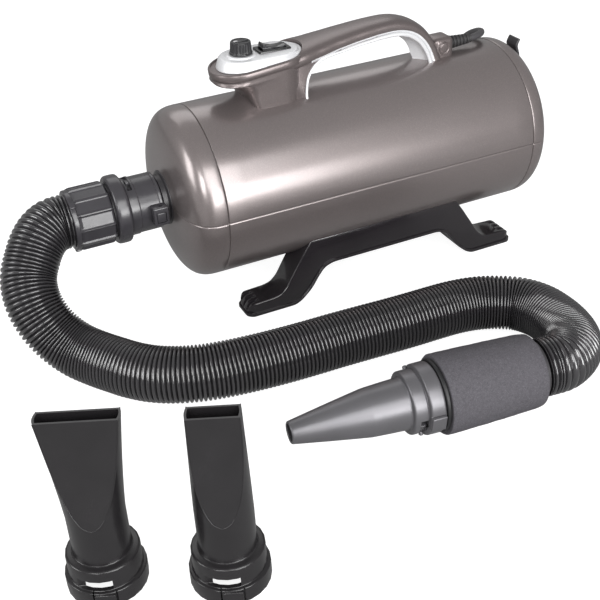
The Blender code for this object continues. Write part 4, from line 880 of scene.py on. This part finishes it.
def grip():
    """The arch, cut clear of the control panel at its front end."""
    arch = solid("grip_arch", [[p for p, _ in ring] for ring in grip_rings()], sharp=60)
    room = [[(x, y, z) for x, y in box_ring(-0.0474, 0.0474, 0.0294, 0.0293, 0.0293)] for z in (0.0001, 0.03)]
    settle(carve(arch, solid("panel_room", room, PANEL)), "dryer", "handle_paint", "handle")


def liner():
    """Silver lining on the inner side of the grip, from bead to bead."""
    rings = []
    for ring in grip_rings()[9:]:
        low = ring[len(ring) // 2 + 2:-1]
        rings.append([p - out * 0.0006 for p, out in low] + [p + out * 0.0012 for p, out in low[::-1]])
    settle(solid("grip_lining", rings, sharp=50), "dryer", "silver_trim")


def web():
    """Fills the corner between the pod and the grip, out to the bead."""
    edge = [(x, z, w) for x, z, w in bead_line() if x < -0.008]
    outline = [(-0.084, 0.2, 0.027)] + [(x - 0.0006, z + 0.0004, w) for x, z, w in edge]
    outline += [(-0.008, 0.256, 0.019), (-0.04, 0.251, 0.0225), (-0.084, 0.247, 0.0262)]
    outline[1:1] = [(edge[0][0] - 0.0006, 0.2, edge[0][2])]
    rings = [[(x, side * (w - 0.0006), z) for x, z, w in outline] for side in (-1, 1)]
    settle(bevel(solid("grip_web", rings, sharp=50), 0.0016, 4, 50), "dryer", "handle_paint")


def pod():
    """The control pod: a wall with a hollow front arch under an overhanging rim."""
    arch = [(0.2, -0.1155), (0.2073, -0.1155), (0.215, -0.1175), (0.2225, -0.121), (0.2282, -0.127),
            (0.2326, -0.135), (0.2352, -0.143), (0.2368, -0.1478), (0.2415, -0.1486)]
    line = smooth_line([(z, x, 0) for z, x in arch], 0.0008)
    rings = []
    for p in line:
        z, front = p.x, p.y
        corner = 0.007 + 0.0234 * clamp((z - 0.21) / 0.03) ** 2
        lean = tan(SEAT_RISE) * clamp((z - 0.22) / 0.02)
        ring = box_ring(front, -0.054, 0.0304, corner, 0.03)
        rings.append([(x, y, z + lean * (x + 0.1)) for x, y in ring])
    settle(solid("pod_wall", rings, sharp=40), "dryer", "handle_paint")
    rim = [(0.048, -0.0062), (0.0496, -0.0058), (0.05, -0.0048), (0.05, 0.0004), (0.0494, 0.0012),
           (0.0478, 0.0014), (0.0474, 0.0)]
    rings = [[(x, y, z) for x, y in box_ring(-r, r, r - 0.018, r - 0.018, r - 0.018)] for r, z in rim]
    settle(solid("pod_rim", rings, PANEL, 50), "dryer", "handle_paint")


def cord_block():
    """The handle's rear foot, where the lead comes out, with a screw boss on its side."""
    block = brick("cord_block_moulded", (0.024, 0.025, 0.042), at(0.109, 0, 0.212), 0.0058, 6)
    settle(block, "dryer", "handle_paint")
    boss = lathe("cord_block_boss", [(0.0, 0.013), (0.0042, 0.013), (0.0046, 0.0126), (0.0056, 0.0126),
                                     (0.006, 0.0132), (0.0066, 0.0132), (0.007, 0.012)],
                 at(0.1085, 0, 0.2225) @ Matrix.Rotation(-pi / 2, 4, "Z"), 64, loop=False, soft=0.0003)
    settle(boss, "dryer", "handle_paint")


def bead_line():
    """Points of the opening's edge: x, z and the bead's distance from the middle plane."""
    last = len(OPENING_EDGE) - 1
    return [(x, z, 0.0295 - 0.0138 * clamp(i / last * 1.25) ** 0.75) for i, (x, z) in enumerate(OPENING_EDGE)]


def beads():
    """The bright edges of the finger opening, wider towards the rear."""
    for side, word in ((-1, "near"), (1, "far")):
        line = smooth_line([(x, side * w, z) for x, z, w in bead_line()], 0.0016)
        rings = sweep(line, lambda i: 0.0014 + 0.0014 * clamp((i / len(line) - 0.45) / 0.35), 20, 0.85)
        settle(solid(f"bead_{word}", rings, sharp=60), "dryer", "silver_trim", f"handle_trim_{word}")


def handle():
    grip()
    pod()
    cord_block()
    web()
    liner()
    beads()


# ---- controls -----------------------------------------------------------------------------
SWITCH_X = 0.033                   # from the knob


def panel():
    """A wedge: its seat rises to the rear, its top face is nearly level."""
    seat = [(0.0442, 0.0004), (0.0442, 0.0012), (0.0438, 0.0018)]           # height over the seat
    face = [(0.0414, 0.0018), (0.041, 0.0013), (0.0407, 0.0013), (0.0404, 0.0006), (0.0398, 0.0001),
            (0.039, 0.0), (0.023, 0.0)]                                   # depth under the top face
    rings = []
    for r, z in seat + face:
        flat = box_ring(-r, r, r - 0.018, r - 0.0181, r - 0.0181)
        spots = [PANEL @ Vector((x + 0.0025, y, z)) for x, y in flat]
        if len(rings) >= len(seat):
            spots = [Vector((p.x, p.y, FACE_Z - 0.006 * (p.x - FACE_X) - z)) for p in spots]
        rings.append(spots)
    wedge = solid("panel_plate", rings)
    carve(wedge, brick("switch_hole", (0.0288, 0.0138, 0.02), FACE @ at(SWITCH_X, 0, 0), 0.0004, 1))
    settle(wedge, "dryer", "silver_trim", "control_panel")
    ring = [(0.015, -0.0004), (0.015, 0.0008), (0.014, 0.0015), (0.0122, 0.0015), (0.0118, 0.0012),
            (0.0, 0.0012)]
    settle(lathe("dial_base", ring, FACE @ UPRIGHT, loop=False, soft=0.0004), "dryer", "silver_trim",
           "dial_ring")


def knob():
    """A fluted knob with a raised rim and a pointer across its top."""
    low = 0.0018

    def flutes(a, x, r):
        if r < 0.0085 or not low + 0.0016 < x < low + 0.0111:
            return r
        return r - 0.0007 * (0.5 - 0.5 * cos(a * 18)) ** 1.5

    body = lathe("knob_moulded", [
        (0.0, low - 0.004), (0.0031, low - 0.004), (0.0031, low), (0.0112, low), (0.0116, low + 0.0006),
        (0.0114, low + 0.0014), (0.0109, low + 0.002), (0.0106, low + 0.005), (0.0103, low + 0.0098),
        (0.0101, low + 0.0114), (0.0094, low + 0.0123), (0.0082, low + 0.0124), (0.0078, low + 0.0116),
        (0.006, low + 0.0115), (0.0, low + 0.0115)],
                 FACE @ UPRIGHT, 216, mod=flutes, loop=False, soft=0.0004, sharp=50)
    settle(body, "knob", "black_plastic", "speed_knob", look="knob_black")
    bar = brick("knob_pointer_bar", (0.015, 0.0024, 0.0014), FACE @ at(0, 0, low + 0.0118), 0.0004)
    settle(bar, "knob", "black_plastic", look="knob_black")
    mark = brick("knob_pointer_mark", (0.004, 0.001, 0.0005), FACE @ at(-0.0052, 0, low + 0.01258), 0.0001, 1)
    settle(mark, "knob", "black_plastic", look="mark_white")


def switch():
    """The rocker in its frame, at rest on its rear side."""
    z0, z1 = -0.0004, GAP + 0.0024
    table = [(0.0, z0), (0.0, z1 - 0.0008), (0.0004, z1 - 0.0002), (0.001, z1), (0.0032, z1),
             (0.0036, z1 - 0.0003), (0.0038, z1 - 0.001), (0.0038, z0 - 0.004)]
    rings = [[(x, y, z) for x, y in box_ring(-0.017 + d, 0.017 - d, 0.0095 - d, 0.0014, 0.0014, 5)]
             for d, z in table]
    bezel = solid("switch_bezel", rings, FACE @ at(SWITCH_X, 0, 0), 40)
    settle(bezel, "dryer", "black_plastic", "switch_frame", look="switch_black")
    pivot = FACE @ at(SWITCH_X, 0, 0.001) @ Matrix.Rotation(radians(9), 4, "Y")
    side = [(-0.0112, -0.002), (0.0112, -0.002), (0.0128, 0.0012), (0.0124, 0.0058), (0.0085, 0.0043),
            (0.0045, 0.0032), (0.0, 0.0028), (-0.0045, 0.0032), (-0.0085, 0.0043), (-0.0124, 0.0058),
            (-0.0128, 0.0012)]
    key = solid("rocker_key", plate(rounded(side, 0.001, 3, closed=True), -0.0058, 0.0058), pivot)
    settle(bevel(key, 0.0006), "rocker", "black_plastic", "rocker_switch", look="rocker_gloss")


# ---- runners ------------------------------------------------------------------------------
RUNNER_X, RUNNER_Y, RUNNER_W, PAD_H = 0.0055, 0.0525, 0.035, 0.0012
TIP, HEEL = 0.162, 0.104


def mirrored(low, high):
    """One half's lower and upper line, made into the outline of both halves."""
    half = high + low
    return [(x + RUNNER_X, z) for x, z in half + [(-x, z) for x, z in half[::-1]]]


def slab(name, line, y, thick, soft):
    return bevel(solid(name, plate(line, y - thick / 2, y + thick / 2)), soft, 3, 50)


def runners():
    """Two moulded runners with a lip along the lower edge and grooved toes."""
    z0 = PAD_H + 0.0008
    low = [(TIP, z0), (HEEL + 0.005, z0), (HEEL - 0.003, z0 + 0.004), (0.089, 0.0168), (0.081, 0.0288),
           (0.074, 0.0373), (0.064, 0.0408)]
    high = [(0.064, 0.085), (0.078, 0.08), (0.088, 0.071), (0.098, 0.056), (0.108, 0.04),
            (0.117, 0.025), (0.124, 0.0185), (0.132, 0.0165), (TIP - 0.007, 0.0155),
            (TIP - 0.003, 0.013), (TIP, 0.007)]
    body = rounded(mirrored(low, high), 0.01, 6, closed=True)
    z0 = PAD_H
    inner = [(TIP + 0.0016, z0), (HEEL + 0.005, z0), (HEEL - 0.003, z0 + 0.004), (0.089, 0.016),
             (0.081, 0.028), (0.074, 0.0365), (0.064, 0.04)]
    outer = [(0.064, 0.0428), (0.0752, 0.0392), (0.083, 0.03), (0.0912, 0.018),
             (HEEL - 0.0015, z0 + 0.0062), (HEEL + 0.006, z0 + 0.0034), (TIP + 0.0016, z0 + 0.0034)]
    rim = rounded(mirrored(inner, outer), 0.006, 5, closed=True)
    for side, word in ((-1, "near"), (1, "far")):
        y = side * RUNNER_Y
        runner = slab(f"runner_{word}_moulded", body, y, RUNNER_W - 0.0036, 0.0016)
        cuts = [lathe("barrel", [(0.0, -0.2), (BODY_R + GAP, -0.2), (BODY_R + GAP, 0.2), (0.0, 0.2)],
                      BARREL, 180,
                      loop=False, soft=0)]
        for end in (-1, 1):
            for i in (-1, 0, 1):
                cuts.append(brick(f"groove_{end}_{i}", (0.026, 0.0042, 0.02),
                                  at(RUNNER_X + end * (TIP + 0.0012), y + 0.0086 * i, 0.0172)
                                  @ Matrix.Rotation(end * radians(34), 4, "Y"), 0.001, 2))
        carve(runner, *cuts)
        lip = slab(f"runner_{word}_lip", rim, y, RUNNER_W, 0.0009)
        for thing, grow in ((runner, 0.0), (lip, 0.0016)):
            outline = box_ring(-TIP - grow, TIP + grow, (RUNNER_W - 0.0036) / 2 + grow, 0.0105, 0.0105, 8)
            rings = [[(x + RUNNER_X, oy + y, z) for x, oy in outline] for z in (-0.01, 0.1)]
            carve(thing, solid("outline", rings), operation="INTERSECT")
        settle(bevel(runner, 0.0006, 2, 45), "dryer", "black_gloss", f"runner_{word}")
        settle(lip, "dryer", "black_gloss")


# ---- everything ---------------------------------------------------------------------------
def dress_frame():
    """The CAD nodes that keep their own shape get their slot's material."""
    slots = {entry["node"]: entry["material_slot"] for entry in frame["record"]["subparts"]}
    for name, obj in frame["nodes"].items():
        look = finish(slots[name])
        for place in obj.material_slots:
            place.material = look
        if not obj.material_slots:
            obj.data.materials.append(look)


camera()
studio()
air_hose()
mains_lead()
strain_relief()
shells()
inlet()
connector()
handpiece()
spare_nozzle("fan_nozzle", "spare_fan_nozzle", (-0.3935, -0.344, 0.0), 0.0308, 0.007)
spare_nozzle("flat_nozzle", "spare_flat_nozzle", (-0.3092, -0.386, 0.0), 0.02, 0.0075)
handle()
panel()
knob()
switch()
runners()
dress_frame()
